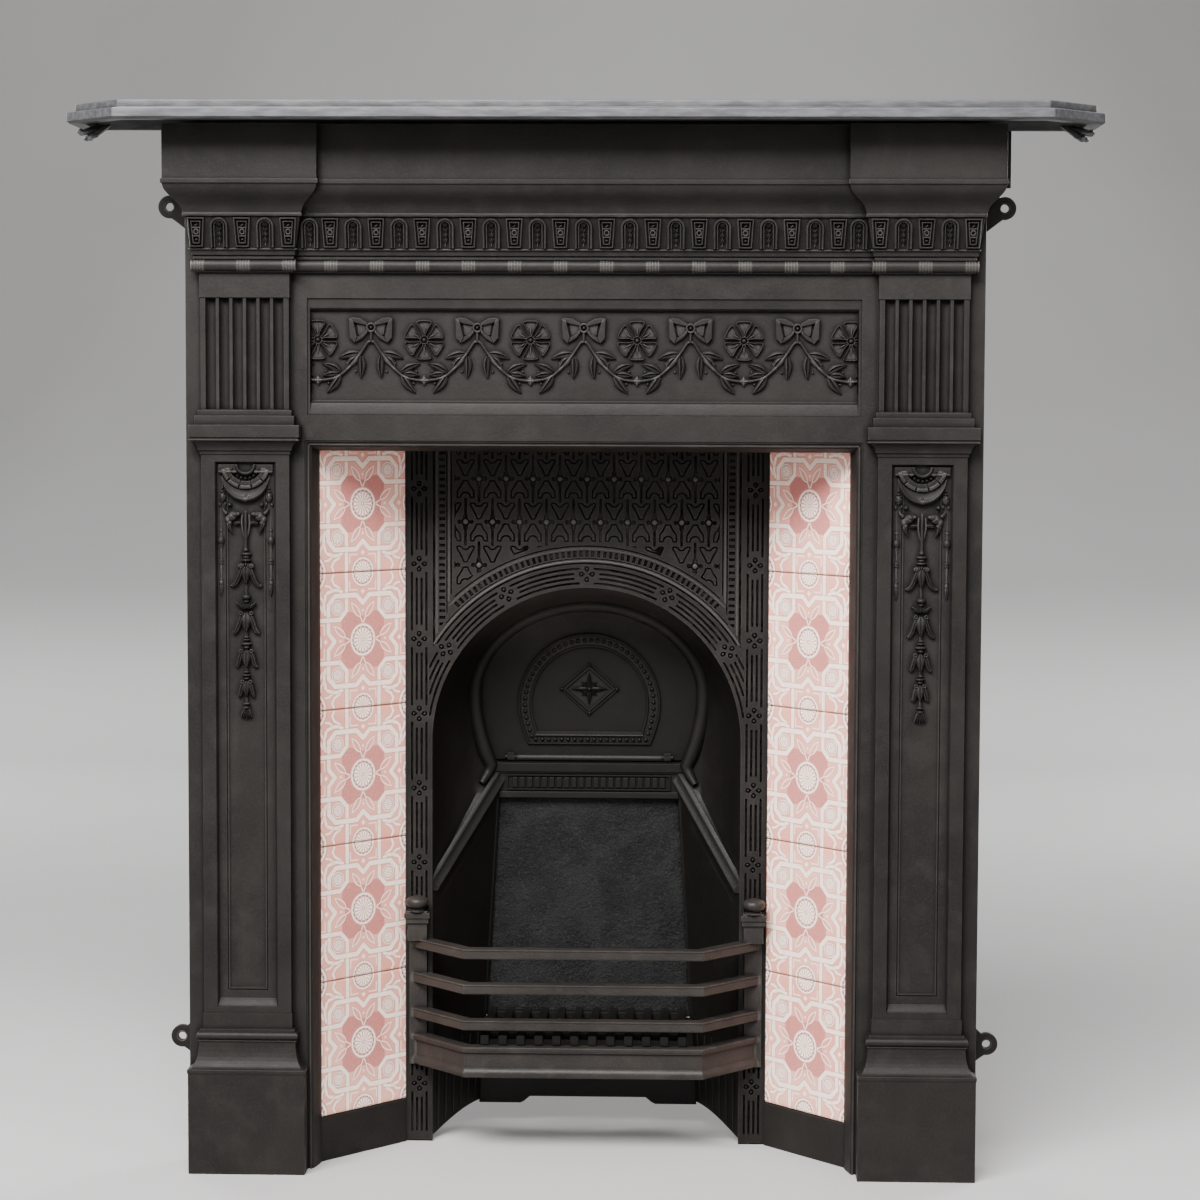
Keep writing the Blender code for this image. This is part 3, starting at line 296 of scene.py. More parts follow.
def leaf(foot, tip, width, height, bend=0.0, lift=0.0, blunt=0.75, steps=9, sink=1.0 * mm, groove=0.35):
    """Leaf on a face with a grooved rib, from its foot to its tip; lift raises the tip."""
    along = (tip[0] - foot[0], tip[1] - foot[1])
    length = math.hypot(*along)
    unit = (along[0] / length, along[1] / length)
    aside = (-unit[1], unit[0])
    rings = []
    for step in range(steps + 1):
        t = step / steps
        sway = bend * length * math.sin(math.pi * t)
        cx = foot[0] + along[0] * t + aside[0] * sway
        cz = foot[1] + along[1] * t + aside[1] * sway
        half = width / 2 * max(0.04, math.sin(math.pi * min(1.0, 0.04 + 0.96 * t) ** blunt)) ** 0.85
        rise = height * (0.35 + 0.65 * math.sin(math.pi * min(1.0, 0.12 + 0.8 * t))) + lift * t * t
        ring = []
        for share, level in ((-1.0, None), (-1.0, 0.25), (-0.72, 0.78), (-0.32, 0.95), (0.0, 1.0 - groove),
                             (0.32, 0.95), (0.72, 0.78), (1.0, 0.25), (1.0, None)):
            y = sink if level is None else -rise * level
            ring.append((cx + aside[0] * half * share, y, cz + aside[1] * half * share))
        rings.append(ring)
    return loft(rings)


def ring_shape(x, z, radius, bar, y=0.0, sides=20, flat=1.0):
    rings = []
    for k in range(sides):
        angle = 2 * math.pi * k / sides
        ring = []
        for side in range(8):
            turn = 2 * math.pi * side / 8
            reach = radius + bar * math.cos(turn)
            ring.append((x + reach * math.cos(angle), y - bar * flat * math.sin(turn), z + reach * math.sin(angle)))
        rings.append(ring)
    return torus_loft(rings)


def turn_about(shape, x, z, angle):
    """Shape turned on its face about a point."""
    c, s = math.cos(angle), math.sin(angle)
    verts, faces = shape
    return [(x + (px - x) * c - (pz - z) * s, py, z + (px - x) * s + (pz - z) * c) for px, py, pz in verts], faces


def tidied(outline, least=0.02 * mm):
    """Outline without repeated points, turned the same way as all others."""
    points = []
    for point in outline:
        if not points or math.dist(point, points[-1]) > least:
            points.append(point)
    if math.dist(points[0], points[-1]) <= least:
        points.pop()
    return points if area_of(points) > 0 else points[::-1]


def encloses(outline, point):
    px, pz = point
    inside = False
    for (x0, z0), (x1, z1) in zip(outline, outline[1:] + outline[:1]):
        if (z0 > pz) != (z1 > pz) and px < x0 + (x1 - x0) * (pz - z0) / (z1 - z0):
            inside = not inside
    return inside


def nesting(outlines):
    """How many of the other outlines lie round each one."""
    limits = [(min(x for x, _ in line), max(x for x, _ in line), min(z for _, z in line), max(z for _, z in line))
              for line in outlines]
    depths = []
    for index, line in enumerate(outlines):
        x, z = line[0]
        depths.append(sum(1 for other, (x0, x1, z0, z1) in enumerate(limits)
                          if other != index and x0 < x < x1 and z0 < z < z1 and encloses(outlines[other], line[0])))
    return depths


def flat_fill(outlines, y):
    """Triangles on a plane between closed outlines: solid, hole, solid again, by how they nest."""
    verts = []
    loops = []
    for line in outlines:
        loops.append(list(range(len(verts), len(verts) + len(line))))
        verts += [Vector(point) for point in line]
    made, _, triangles, _, _, origins = geometry.delaunay_2d_cdt(verts, [], loops, 1, 1e-7)
    return ([(point.x, y, point.y) for point in made],
            [tuple(triangle) for triangle, origin in zip(triangles, origins) if len(origin) % 2])


def filled(outer, holes, y_front, y_back, edge=0.3 * mm):
    """Plate that faces the front, with holes and softened edges, from closed outlines."""
    walls = [tidied(line) for line in [outer] + list(holes)]
    fronts = [offset(line, edge if depth % 2 == 0 else -edge) for line, depth in zip(walls, nesting(walls))]
    shapes = [flat_fill(fronts, y_front), flat_fill(walls, y_back)]
    for front, wall in zip(fronts, walls):
        rings = [[(x, y_front, z) for x, z in front], [(x, y_front + edge, z) for x, z in wall],
                 [(x, y_back, z) for x, z in wall]]
        shapes.append(loft(rings, caps=False))
    verts, faces = join(shapes)
    work = bmesh.new()
    corners = [work.verts.new(point) for point in verts]
    for face in faces:
        work.faces.new([corners[index] for index in face])
    bmesh.ops.remove_doubles(work, verts=work.verts, dist=2e-6)
    work.verts.index_update()
    verts = [tuple(v.co) for v in work.verts]
    faces = [tuple(v.index for v in face.verts) for face in work.faces]
    work.free()
    return verts, faces


# ---- Objects ----

def make_object(name, shape, material=None, angle=32.0):
    verts, faces = shape
    mesh = bpy.data.meshes.new(name)
    mesh.from_pydata([(x, y + depth_shift, z) for x, y, z in verts], [], faces)
    work = bmesh.new()
    work.from_mesh(mesh)
    bmesh.ops.dissolve_degenerate(work, dist=1e-7, edges=work.edges)
    bmesh.ops.recalc_face_normals(work, faces=work.faces)
    work.to_mesh(mesh)
    work.free()
    mesh.shade_smooth()
    mesh.set_sharp_from_angle(angle=math.radians(angle))
    item = bpy.data.objects.new(name, mesh)
    bpy.context.scene.collection.objects.link(item)
    if material:
        mesh.materials.append(material)
    return item


def cut_away(item, shapes, angle=32.0):
    """The object with the shapes cut out of it, as plain mesh."""
    guide = make_object("cutter", join(shapes))
    modifier = item.modifiers.new("cut", "BOOLEAN")
    modifier.operation = "DIFFERENCE"
    modifier.solver = "EXACT"
    modifier.object = guide
    bpy.context.view_layer.update()
    mesh = bpy.data.meshes.new_from_object(item.evaluated_get(bpy.context.evaluated_depsgraph_get()))
    item.modifiers.clear()
    item.data = mesh
    bpy.data.objects.remove(guide, do_unlink=True)
    mesh.shade_smooth()
    mesh.set_sharp_from_angle(angle=math.radians(angle))


def settle(item, nodes=(), body=main_body):
    """Even shading on flats, and the piece's place in the frame."""
    modifier = item.modifiers.new("even_shading", "WEIGHTED_NORMAL")
    modifier.keep_sharp = True
    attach(item, body)
    if nodes:
        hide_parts(*nodes)
    return item


# ---- Materials ----

def node_material(name):
    material = bpy.data.materials.new(name)
    material.use_nodes = True
    tree = material.node_tree
    return material, tree, tree.nodes["Principled BSDF"]


class Tree:
    """Short ways to add nodes."""

    def __init__(self, tree):
        self.tree = tree

    def node(self, kind, inputs=(), **settings):
        made = self.tree.nodes.new(kind)
        for key, value in settings.items():
            setattr(made, key, value)
        for key, value in dict(inputs).items():
            self.put(made.inputs[key], value)
        return made

    def put(self, socket, value):
        if isinstance(value, bpy.types.NodeSocket):
            self.tree.links.new(value, socket)
        else:
            socket.default_value = value

    def math(self, operation, a, b=0.0, c=0.0, clamp=False):
        made = self.tree.nodes.new("ShaderNodeMath")
        made.operation = operation
        made.use_clamp = clamp
        self.put(made.inputs[0], a)
        self.put(made.inputs[1], b)
        if operation in ("MULTIPLY_ADD", "COMPARE", "SMOOTH_MAX", "SMOOTH_MIN", "WRAP"):
            self.put(made.inputs[2], c)
        return made.outputs[0]

    def noise(self, vector, scale, detail=4.0, roughness=0.55, distortion=0.0):
        made = self.node("ShaderNodeTexNoise", {"Scale": scale, "Detail": detail, "Roughness": roughness,
                                                "Distortion": distortion})
        self.put(made.inputs["Vector"], vector)
        return made.outputs["Fac"]

    def ramp(self, value, low, high):
        made = self.node("ShaderNodeMapRange", {"From Min": low, "From Max": high})
        made.clamp = True
        made.interpolation_type = "SMOOTHSTEP"
        self.put(made.inputs["Value"], value)
        return made.outputs["Result"]

    def mix(self, factor, a, b):
        made = self.tree.nodes.new("ShaderNodeMix")
        made.data_type = "RGBA"
        self.put(made.inputs[0], factor)
        self.put(made.inputs[6], a if isinstance(a, bpy.types.NodeSocket) else (*a, 1.0))
        self.put(made.inputs[7], b if isinstance(b, bpy.types.NodeSocket) else (*b, 1.0))
        return made.outputs[2]

    def blend(self, factor, a, b):
        made = self.tree.nodes.new("ShaderNodeMix")
        made.data_type = "FLOAT"
        self.put(made.inputs[0], factor)
        self.put(made.inputs[2], a)
        self.put(made.inputs[3], b)
        return made.outputs[0]

    def bump(self, height, strength, distance, normal=None):
        made = self.node("ShaderNodeBump", {"Strength": strength, "Distance": distance})
        self.put(made.inputs["Height"], height)
        if normal is not None:
            self.put(made.inputs["Normal"], normal)
        return made.outputs["Normal"]


def iron_material(name, dark, brown, rubbed_edge_highlight, rub=0.6, rough=0.42, grain=0.60, metallic=0.25, hollow_shade_tone=0.16,
                  specular=0.40, low_shade_and_soot=1.0):
    """Black-leaded cast iron: fine sand grain, faint smears, edges painted lighter as part wear and part highlight, and
    hollows painted dark as shade with black-lead dirt; it can also be painted darker towards the bottom, as shade with
    smoke blackening.
    """
    material, tree, shader = node_material(name)
    t = Tree(tree)
    place = t.node("ShaderNodeTexCoord").outputs["Object"]
    broad = t.noise(place, 7.0, 3.0, 0.6, 0.4)
    patch = t.noise(place, 38.0, 4.0, 0.6)
    smear = t.noise(t.node("ShaderNodeMapping", {"Vector": place, "Scale": (1.0, 1.0, 0.35)}).outputs["Vector"],
                    19.0, 5.0, 0.62, 0.8)
    sand = t.noise(place, 520.0, 4.0, 0.75)
    coarse = t.noise(place, 210.0, 3.0, 0.6)
    # Edges found by inside occlusion are painted lighter: rubbing wear, partly a painted highlight.
    inside = t.node("ShaderNodeAmbientOcclusion", {"Distance": 0.0022}, samples=3, inside=True,
                    only_local=True).outputs["AO"]
    edge = t.math("SUBTRACT", 1.0, inside)
    edge = t.ramp(t.math("ADD", edge, t.math("MULTIPLY", t.math("SUBTRACT", patch, 0.5), 0.5)), 0.32, 0.80)
    # Hollows found by short occlusion get painted shade, with some black-lead dirt.
    around = t.node("ShaderNodeAmbientOcclusion", {"Distance": 0.0062}, samples=3, only_local=True).outputs["AO"]
    hollow = t.ramp(around, 0.95, 0.56)
    colour = t.mix(t.ramp(broad, 0.35, 0.68), dark, brown)
    colour = t.mix(t.math("MULTIPLY", t.ramp(patch, 0.46, 0.74), 0.45), colour,
                   tuple(c * 1.6 for c in brown))
    colour = t.mix(t.math("MULTIPLY", t.ramp(smear, 0.56, 0.74), 0.35), colour,
                   tuple(c * 2.0 for c in brown))
    colour = t.mix(t.math("MULTIPLY", t.ramp(sand, 0.48, 0.68), 0.45), colour,
                   tuple(c * 2.2 for c in brown))
    # Painted highlight on edges and beads, mixed with rubbing wear.
    colour = t.mix(t.math("MULTIPLY", edge, rub), colour, rubbed_edge_highlight)
    # Painted shade in hollows and recesses, with black-lead dirt.
    colour = t.mix(hollow, colour, tuple(c * hollow_shade_tone for c in dark))
    # Painted shade low down: the colour darkens towards the bottom, with smoke blackening.
    if low_shade_and_soot < 1.0:
        axes = t.node("ShaderNodeSeparateXYZ", {"Vector": place})
        height = t.math("ADD", axes.outputs["Z"], t.math("MULTIPLY", t.math("SUBTRACT", broad, 0.5), 0.06))
        low_shaded_colour = t.mix(1.0 - low_shade_and_soot, colour, (0.0008, 0.0008, 0.0008))
        colour = t.mix(t.ramp(height, 0.655, 0.545), colour, low_shaded_colour)
    roughness = t.math("ADD", rough - 0.10, t.math("MULTIPLY", patch, 0.20))
    roughness = t.math("SUBTRACT", roughness, t.math("MULTIPLY", edge, 0.08))
    roughness = t.math("ADD", roughness, t.math("MULTIPLY", hollow, 0.30))
    t.put(shader.inputs["Base Color"], colour)
    t.put(shader.inputs["Roughness"], roughness)
    shader.inputs["Metallic"].default_value = metallic
    shader.inputs["Specular IOR Level"].default_value = specular
    height = t.math("ADD", t.math("MULTIPLY", sand, 0.45), t.math("MULTIPLY", coarse, 0.55))
    first = t.bump(height, grain, 0.0006)
    t.put(shader.inputs["Normal"], t.bump(patch, 0.22, 0.0016, first))
    return material


black_iron = iron_material("black_iron", (0.0056, 0.0049, 0.0044), (0.0100, 0.0084, 0.0073), (0.060, 0.054, 0.049),
                           rub=0.62, rough=0.54,
                           metallic=0.05, specular=0.17)
# Hood, damper and grate iron, painted darker towards the bottom as shade with smoke blackening.
hood_iron = iron_material("hood_iron", (0.0210, 0.0180, 0.0152), (0.0285, 0.0240, 0.0198), (0.130, 0.113, 0.095),
                          rub=0.60, rough=0.50, specular=0.14, metallic=0.0, low_shade_and_soot=0.10)


def shelf_material():
    """Shelf iron, lighter grey on its front-facing faces: wear along the front edge, and painted sheen over the rest of
    the front.
    """
    material, tree, shader = node_material("shelf_iron")
    t = Tree(tree)
    place = t.node("ShaderNodeTexCoord").outputs["Object"]
    axes = t.node("ShaderNodeSeparateXYZ", {"Vector": t.node("ShaderNodeNewGeometry").outputs["Normal"]})
    facing = t.math("MULTIPLY", axes.outputs["Y"], -1.0)
    broad = t.noise(place, 16.0, 4.0, 0.6, 0.5)
    streak = t.node("ShaderNodeMapping", {"Vector": place, "Scale": (1.0, 7.0, 5.0)}).outputs["Vector"]
    rub = t.noise(streak, 34.0, 5.0, 0.6)
    sand = t.noise(place, 700.0, 4.0, 0.7)
    # Front-facing faces painted lighter: wear at the front edge, painted sheen elsewhere on the front.
    front_wear_and_sheen = t.ramp(t.math("ADD", facing, t.math("MULTIPLY", t.math("SUBTRACT", rub, 0.5), 0.5)), 0.35, 0.75)
    bright = t.mix(t.ramp(rub, 0.34, 0.68), (0.045, 0.045, 0.048), (0.083, 0.083, 0.087))
    bright = t.mix(t.math("MULTIPLY", t.ramp(broad, 0.54, 0.76), 0.35), bright, (0.032, 0.033, 0.035))
    colour = t.mix(front_wear_and_sheen, (0.021, 0.020, 0.020), bright)
    t.put(shader.inputs["Base Color"], colour)
    t.put(shader.inputs["Metallic"], t.math("MULTIPLY", front_wear_and_sheen, 0.22))
    shader.inputs["Specular IOR Level"].default_value = 0.35
    t.put(shader.inputs["Roughness"], t.math("ADD", 0.40, t.math("MULTIPLY", rub, 0.15)))
    first = t.bump(t.math("ADD", t.math("MULTIPLY", sand, 0.6), t.math("MULTIPLY", rub, 0.4)), 0.22, 0.0005)
    t.put(shader.inputs["Normal"], t.bump(broad, 0.10, 0.0016, first))
    return material


def brick_material():
    """Rough firebrick blackened with lead and smoke."""
    material, tree, shader = node_material("firebrick")
    t = Tree(tree)
    place = t.node("ShaderNodeTexCoord").outputs["Object"]
    broad = t.noise(place, 22.0, 4.0, 0.6, 0.4)
    fine = t.noise(place, 520.0, 5.0, 0.75)
    pits = t.node("ShaderNodeTexVoronoi", {"Vector": place, "Scale": 380.0}).outputs["Distance"]
    speck = t.ramp(fine, 0.50, 0.68)
    colour = t.mix(t.ramp(broad, 0.35, 0.65), (0.0042, 0.0041, 0.0041), (0.0100, 0.0098, 0.0098))
    colour = t.mix(t.math("MULTIPLY", speck, 0.75), colour, (0.026, 0.0255, 0.0255))
    colour = t.mix(t.ramp(pits, 0.30, 0.05), colour, (0.0016, 0.0016, 0.0018))
    t.put(shader.inputs["Base Color"], colour)
    t.put(shader.inputs["Roughness"], t.math("ADD", 0.62, t.math("MULTIPLY", broad, 0.25)))
    shader.inputs["Specular IOR Level"].default_value = 0.12
    first = t.bump(pits, 0.60, 0.0011)
    t.put(shader.inputs["Normal"], t.bump(fine, 0.75, 0.0014, first))
    return material


shelf_iron = shelf_material()
firebrick = brick_material()


# ---- Surround casting ----

def curve_points(z0, z1, p0, p1, steps, hollow):
    points = []
    for step in range(steps + 1):
        angle = math.pi / 2 * step / steps
        rise = 1 - math.cos(angle) if hollow else math.sin(angle)
        run = math.sin(angle) if hollow else 1 - math.cos(angle)
        points.append((z0 + (z1 - z0) * run, p0 + (p1 - p0) * rise))
    return points


def wave_points(z0, z1, p0, p1, steps):
    return [(z0 + (z1 - z0) * step / steps,
             p0 + (p1 - p0) * (step / steps - math.sin(2 * math.pi * step / steps) / 9)) for step in range(steps + 1)]


def torus_points(z0, z1, p, bulge, steps):
    return [((z0 + z1) / 2 - (z1 - z0) / 2 * math.cos(math.pi * step / steps),
             p + bulge * math.sin(math.pi * step / steps)) for step in range(steps + 1)]


neck_top = 0.991
astragal_top = neck_top + 0.014
egg_low = astragal_top + 0.012
egg_high = egg_low + 0.034
cyma_low = egg_high + 0.004
cyma_high = cyma_low + 0.030
flute_low = 0.842
flute_high = 0.964


def cornice_profile():
    points = [(neck_top, 0.0040), (neck_top + 0.0012, 0.0046)]
    points += torus_points(neck_top + 0.0016, astragal_top - 0.0004, 0.0040, 0.0050, 10)
    points += [(astragal_top, 0.0040), (astragal_top, 0.0065), (astragal_top + 0.0030, 0.0065),
               (astragal_top + 0.0030, 0.0055), (astragal_top + 0.0045, 0.0055), (astragal_top + 0.0045, 0.0078)]
    points += [(egg_low - 0.0020, 0.0085), (egg_low - 0.0020, 0.0105), (egg_low, 0.0105), (egg_low, 0.0085)]
    points += [(egg_high, 0.0142), (egg_high, 0.0165), (egg_high + 0.0030, 0.0165), (cyma_low, 0.0158)]
    points += wave_points(cyma_low, cyma_high, 0.0160, 0.0350, 14)[1:]
    points += [(cyma_high, 0.0365), (cyma_high + 0.0050, 0.0365), (cyma_high + 0.0050, 0.0350)]
    points += [(shelf_bottom - fit_gap, 0.0350)]
    return points


def pilaster_profile():
    points = [(0.0, 0.016), (0.1115, 0.016), (0.1130, 0.0168), (0.1165, 0.0168)]
    points += curve_points(0.145, 0.117, 0.005, 0.016, 8, True)[::-1]
    points += [(0.1465, 0.0055), (0.1465, 0.0062), (0.1480, 0.0062)]
    points += torus_points(0.148, 0.157, 0.004, 0.004, 8)
    points += [(0.160, 0.004), (0.160, 0.001), (0.1770, 0.001), (0.1770, 0.0), (0.1790, 0.0)]
    points += [(0.7925, 0.0), (0.7940, 0.0), (0.7940, 0.0012), (0.7980, 0.0012)]
    points += curve_points(0.798, 0.809, 0.003, 0.012, 8, True)
    points += [(0.8105, 0.012), (0.8105, 0.0108), (0.8125, 0.0108), (0.8125, 0.012), (0.826, 0.012)]
    points += [(0.826, 0.006), (0.836, 0.006), (0.836, 0.003), (flute_low, 0.003), (flute_low, 0.0)]
    points += [(flute_high, 0.0), (flute_high, 0.001), (neck_top, 0.001)]
    return points + cornice_profile()


def spread_levels(points):
    hair = 0.00012
    levels = [points[0]]
    for z, p in points[1:]:
        if z <= levels[-1][0] + hair and abs(p - levels[-1][1]) < hair:
            continue
        levels.append((max(z, levels[-1][0] + hair), p))
    return levels


def nearest_wall(levels, z):
    near = [p for height, p in levels if abs(height - z) <= iron]
    for (z0, p0), (z1, p1) in zip(levels, levels[1:]):
        for probe in (z - iron, z + iron):
            if z0 <= probe <= z1:
                near.append(p0 + (p1 - p0) * (probe - z0) / max(z1 - z0, 1e-6))
    return min(near) - iron


def surround_shell():
    coarse = spread_levels(pilaster_profile())
    rail_coarse = [(z, p if z > neck_top else 0.0) for z, p in coarse]
    levels = fillet(coarse, 0.0007, 2)
    rings = []
    last = -1.0
    for z, p in levels:
        if z <= last + 1e-6:
            z = last + 2e-5
        last = z
        q = p if z > neck_top else 0.0
        side = max(flange_half, shaft_outer + p + 0.001)
        back_p = nearest_wall(coarse, z)
        back_q = nearest_wall(rail_coarse, z)
        if 0.831 < z < 0.970:
            back_q = -0.014
        if 0.1775 < z < 0.7932 or 0.836 < z < 0.968:
            back_p = -0.014
        outer_side = [(side, wall_depth), (side, frieze_plane), (shaft_outer + p, frieze_plane),
                      (shaft_outer + p, shaft_front - p), (shaft_inner - p, shaft_front - p),
                      (shaft_inner - p, frieze_plane - q)]
        hollow = min(shaft_outer + back_p, side - iron - 0.001)
        inner_side = [(side - iron, wall_depth), (side - iron, frieze_plane + iron), (hollow, frieze_plane + iron),
                      (hollow, shaft_front - back_p), (shaft_inner - back_p, shaft_front - back_p),
                      (shaft_inner - back_p, frieze_plane - back_q)]
        half = fillet([(side, wall_depth + 0.01)] + outer_side + [(0.0, frieze_plane - q)], 0.0011, 2)[1:-1]
        half[0:3] = [outer_side[0]]
        plan = half + [(-x, y) for x, y in reversed(half)]
        plan += [(-x, y) for x, y in inner_side] + list(reversed(inner_side))
        rings.append([(x, y, z) for x, y in plan])
    return loft(rings)


def rectangle(half_x, z0, z1, centre=0.0):
    return [(centre - half_x, z0), (centre + half_x, z0), (centre + half_x, z1), (centre - half_x, z1)]


def frieze_recess():
    """Sunk frieze field with a sloped rail above and below it."""
    half, low, high = 0.3020, 0.837, 0.964
    levels = []
    for depth, inset, sill in ((-0.0020, -0.0008, 0.0), (0.0, 0.0, 0.0), (0.0012, 0.0008, 0.0), (0.0016, 0.0010, 0.0),
                               (0.0020, 0.0104, -0.0076), (0.0026, 0.0110, -0.0042), (0.0034, 0.0118, -0.0006),
                               (0.0040, 0.0124, 0.0006), (0.0072, 0.0134, 0.0014), (0.0080, 0.0140, 0.0022)):
        levels.append((-(frieze_plane + depth), rectangle(half - inset * 0.29, low + inset + sill, high - inset)))
    return stack(levels)


def shaft_recess(side):
    """Sunk shaft panel: outer step, flat border, a fine double fillet and the inner field."""
    half = 0.0335
    levels = []
    for depth, inset, sill in ((-0.0020, -0.0006, 0.0), (0.0, 0.0, 0.0), (0.0010, 0.0006, 0.0), (0.0016, 0.0011, 0.0016),
                               (0.0036, 0.0018, 0.0046), (0.0042, 0.0021, 0.0068), (0.0046, 0.0022, 0.0072),
                               (0.0046, 0.0110, 0.0072), (0.0058, 0.0112, 0.0072), (0.0058, 0.0121, 0.0072),
                               (0.0046, 0.0124, 0.0072), (0.0046, 0.0136, 0.0072), (0.0056, 0.0139, 0.0072),
                               (0.0060, 0.0148, 0.0072)):
        levels.append((-(shaft_front + depth),
                       rectangle(half - inset, 0.184 + inset + sill, 0.786 - inset, side * shaft_centre)))
    return stack(levels)


def flute(x):
    sides = 14
    rings = []
    radius, depth = 0.0056, 0.0074
    for z in (flute_low + 0.0006, flute_high - 0.0004):
        ring = [(x - radius - 0.0006, shaft_front - 0.0016, z), (x - radius - 0.0003, shaft_front, z)]
        for step in range(sides + 1):
            angle = math.pi * step / sides
            ring.append((x - radius * math.cos(angle), shaft_front + 0.0003 + depth * math.sin(angle) ** 0.8, z))
        ring += [(x + radius + 0.0003, shaft_front, z), (x + radius + 0.0006, shaft_front - 0.0016, z)]
        rings.append(ring)
    return loft(rings)


def opening_cutter():
    """Cuts the opening, with two fine steps round its edge."""
    levels = []
    for depth, grow in ((-0.002, 0.0040), (0.0, 0.0034), (0.0010, 0.0030), (0.0012, 0.0016), (0.0024, 0.0014),
                        (0.0026, 0.0), (0.060, 0.0)):
        levels.append((-(frieze_plane + depth), rectangle(opening_half + grow, -0.01, opening_height + grow)))
    return stack(levels)


def band_y(x, z):
    """Depth of the egg band's sloping face."""
    share = (z - egg_low) / (egg_high - egg_low)
    plane = shaft_front if abs(x) > shaft_inner - 0.013 else frieze_plane
    return plane - (0.0085 + (0.0142 - 0.0085) * share)


def strip_loop(outline, width, height):
    """Raised strip that follows an open line on the face."""
    rings = []
    count = len(outline)
    for index, (x, z) in enumerate(outline):
        before = outline[max(index - 1, 0)]
        after = outline[min(index + 1, count - 1)]
        run = math.hypot(after[0] - before[0], after[1] - before[1])
        nx, nz = -(after[1] - before[1]) / run, (after[0] - before[0]) / run
        ring = []
        for share, level in ((-0.5, -0.6), (-0.5, 0.55), (-0.25, 0.95), (0.25, 0.95), (0.5, 0.55), (0.5, -0.6)):
            ring.append((x + nx * width * share, -height * level, z + nz * width * share))
        rings.append(ring)
    return loft(rings)


def egg_unit(x):
    """Round-headed arch in two strips with an ear of grain in it."""
    z0, z1 = egg_low + 0.0006, egg_high - 0.0012
    shapes = []
    for half, width, height in ((0.0085, 0.0032, 0.0056), (0.0053, 0.0014, 0.0040)):
        top = z1 - (0.0083 - half) - width / 2
        line = [(x - half * 0.96, z0), (x - half, top - half)]
        line += [(x + half * math.cos(math.pi - math.pi * k / 12), top - half + half * math.sin(math.pi * k / 12))
                 for k in range(1, 12)]
        line += [(x + half, top - half), (x + half * 0.96, z0)]
        shapes.append(strip_loop(line, width, height))
    middle = (z0 + z1) / 2
    shapes.append(tube([(x, -0.0008, z0 + 0.002), (x, -0.0010, z1 - 0.012)], 0.0007, 6))
    for row in range(4):
        z = middle - 0.0105 + row * 0.0056
        for side in (-1, 1):
            shapes.append(leaf((x + side * 0.0003, z), (x + side * 0.0030, z + 0.0060), 0.0030, 0.0030, steps=5))
    shapes.append(leaf((x, middle + 0.0085), (x, middle + 0.0130), 0.0026, 0.0030, steps=5))
    return shapes


def dart_unit(x):
    """Tapered panel: outer frame, inner frame, two squares and a ring between them."""
    z0, z1 = egg_low + 0.0014, egg_high - 0.0020
    low, high = 0.0068, 0.0088

    def tapered(inset):
        return [(x - low + inset, z0 + inset), (x + low - inset, z0 + inset),
                (x + high - inset, z1 - inset), (x - high + inset, z1 - inset)]

    def frame_of(inset, width, height):
        outer = tapered(inset)
        inner = tapered(inset + width)
        rings = []
        for (ox, oz), (ix, iz) in zip(outer, inner):
            rings.append([(ox, 0.0012, oz), (ox, -height * 0.7, oz),
                          (ox + (ix - ox) * 0.3, -height, oz + (iz - oz) * 0.3),
                          (ox + (ix - ox) * 0.7, -height, oz + (iz - oz) * 0.7),
                          (ix, -height * 0.7, iz), (ix, 0.0012, iz)])
        return torus_loft(rings)

    middle = (z0 + z1) / 2 + 0.0006
    shapes = [frame_of(-0.0006, 0.0020, 0.0046), frame_of(0.0029, 0.0016, 0.0042)]
    shapes.append(ring_shape(x, middle, 0.0026, 0.0011, -0.0024, 14))
    shapes.append(ball(x, 0.0, middle, 0.0012, 0.0026, 0.0012, 8, 4))
    for rise in (-0.0045, 0.0045):
        shapes.append(box(x - 0.0040, x + 0.0040, -0.0034, 0.001, middle + rise - 0.0006, middle + rise + 0.0006))
    shapes.append(turn_about(box(x - 0.0017, x + 0.0017, -0.0020, 0.001, middle + 0.0068, middle + 0.0080),
                             x, middle + 0.0074, 0.6))
    shapes.append(box(x - 0.0012, x + 0.0012, -0.0020, 0.001, middle - 0.0086, middle - 0.0072))
    return shapes


def reel_group(x, plane):
    """Rings round the astragal."""
    shapes = []
    middle = (neck_top + astragal_top) / 2 + 0.0006
    for step in range(-2, 3):
        centre = x + step * 0.0031
        rings = []
        for share, grow in ((-0.5, -0.0008), (-0.3, 0.0003), (0.3, 0.0003), (0.5, -0.0008)):
            cx = centre + share * 0.0024
            ring = []
            for k in range(9):
                angle = -math.pi / 2 + math.pi * k / 8
                ring.append((cx, plane - 0.0040 - (0.0050 + grow) * math.cos(angle),
                             middle + (0.0062 + grow) * math.sin(angle)))
            rings.append(ring)
        shapes.append(loft(rings))
    return shapes


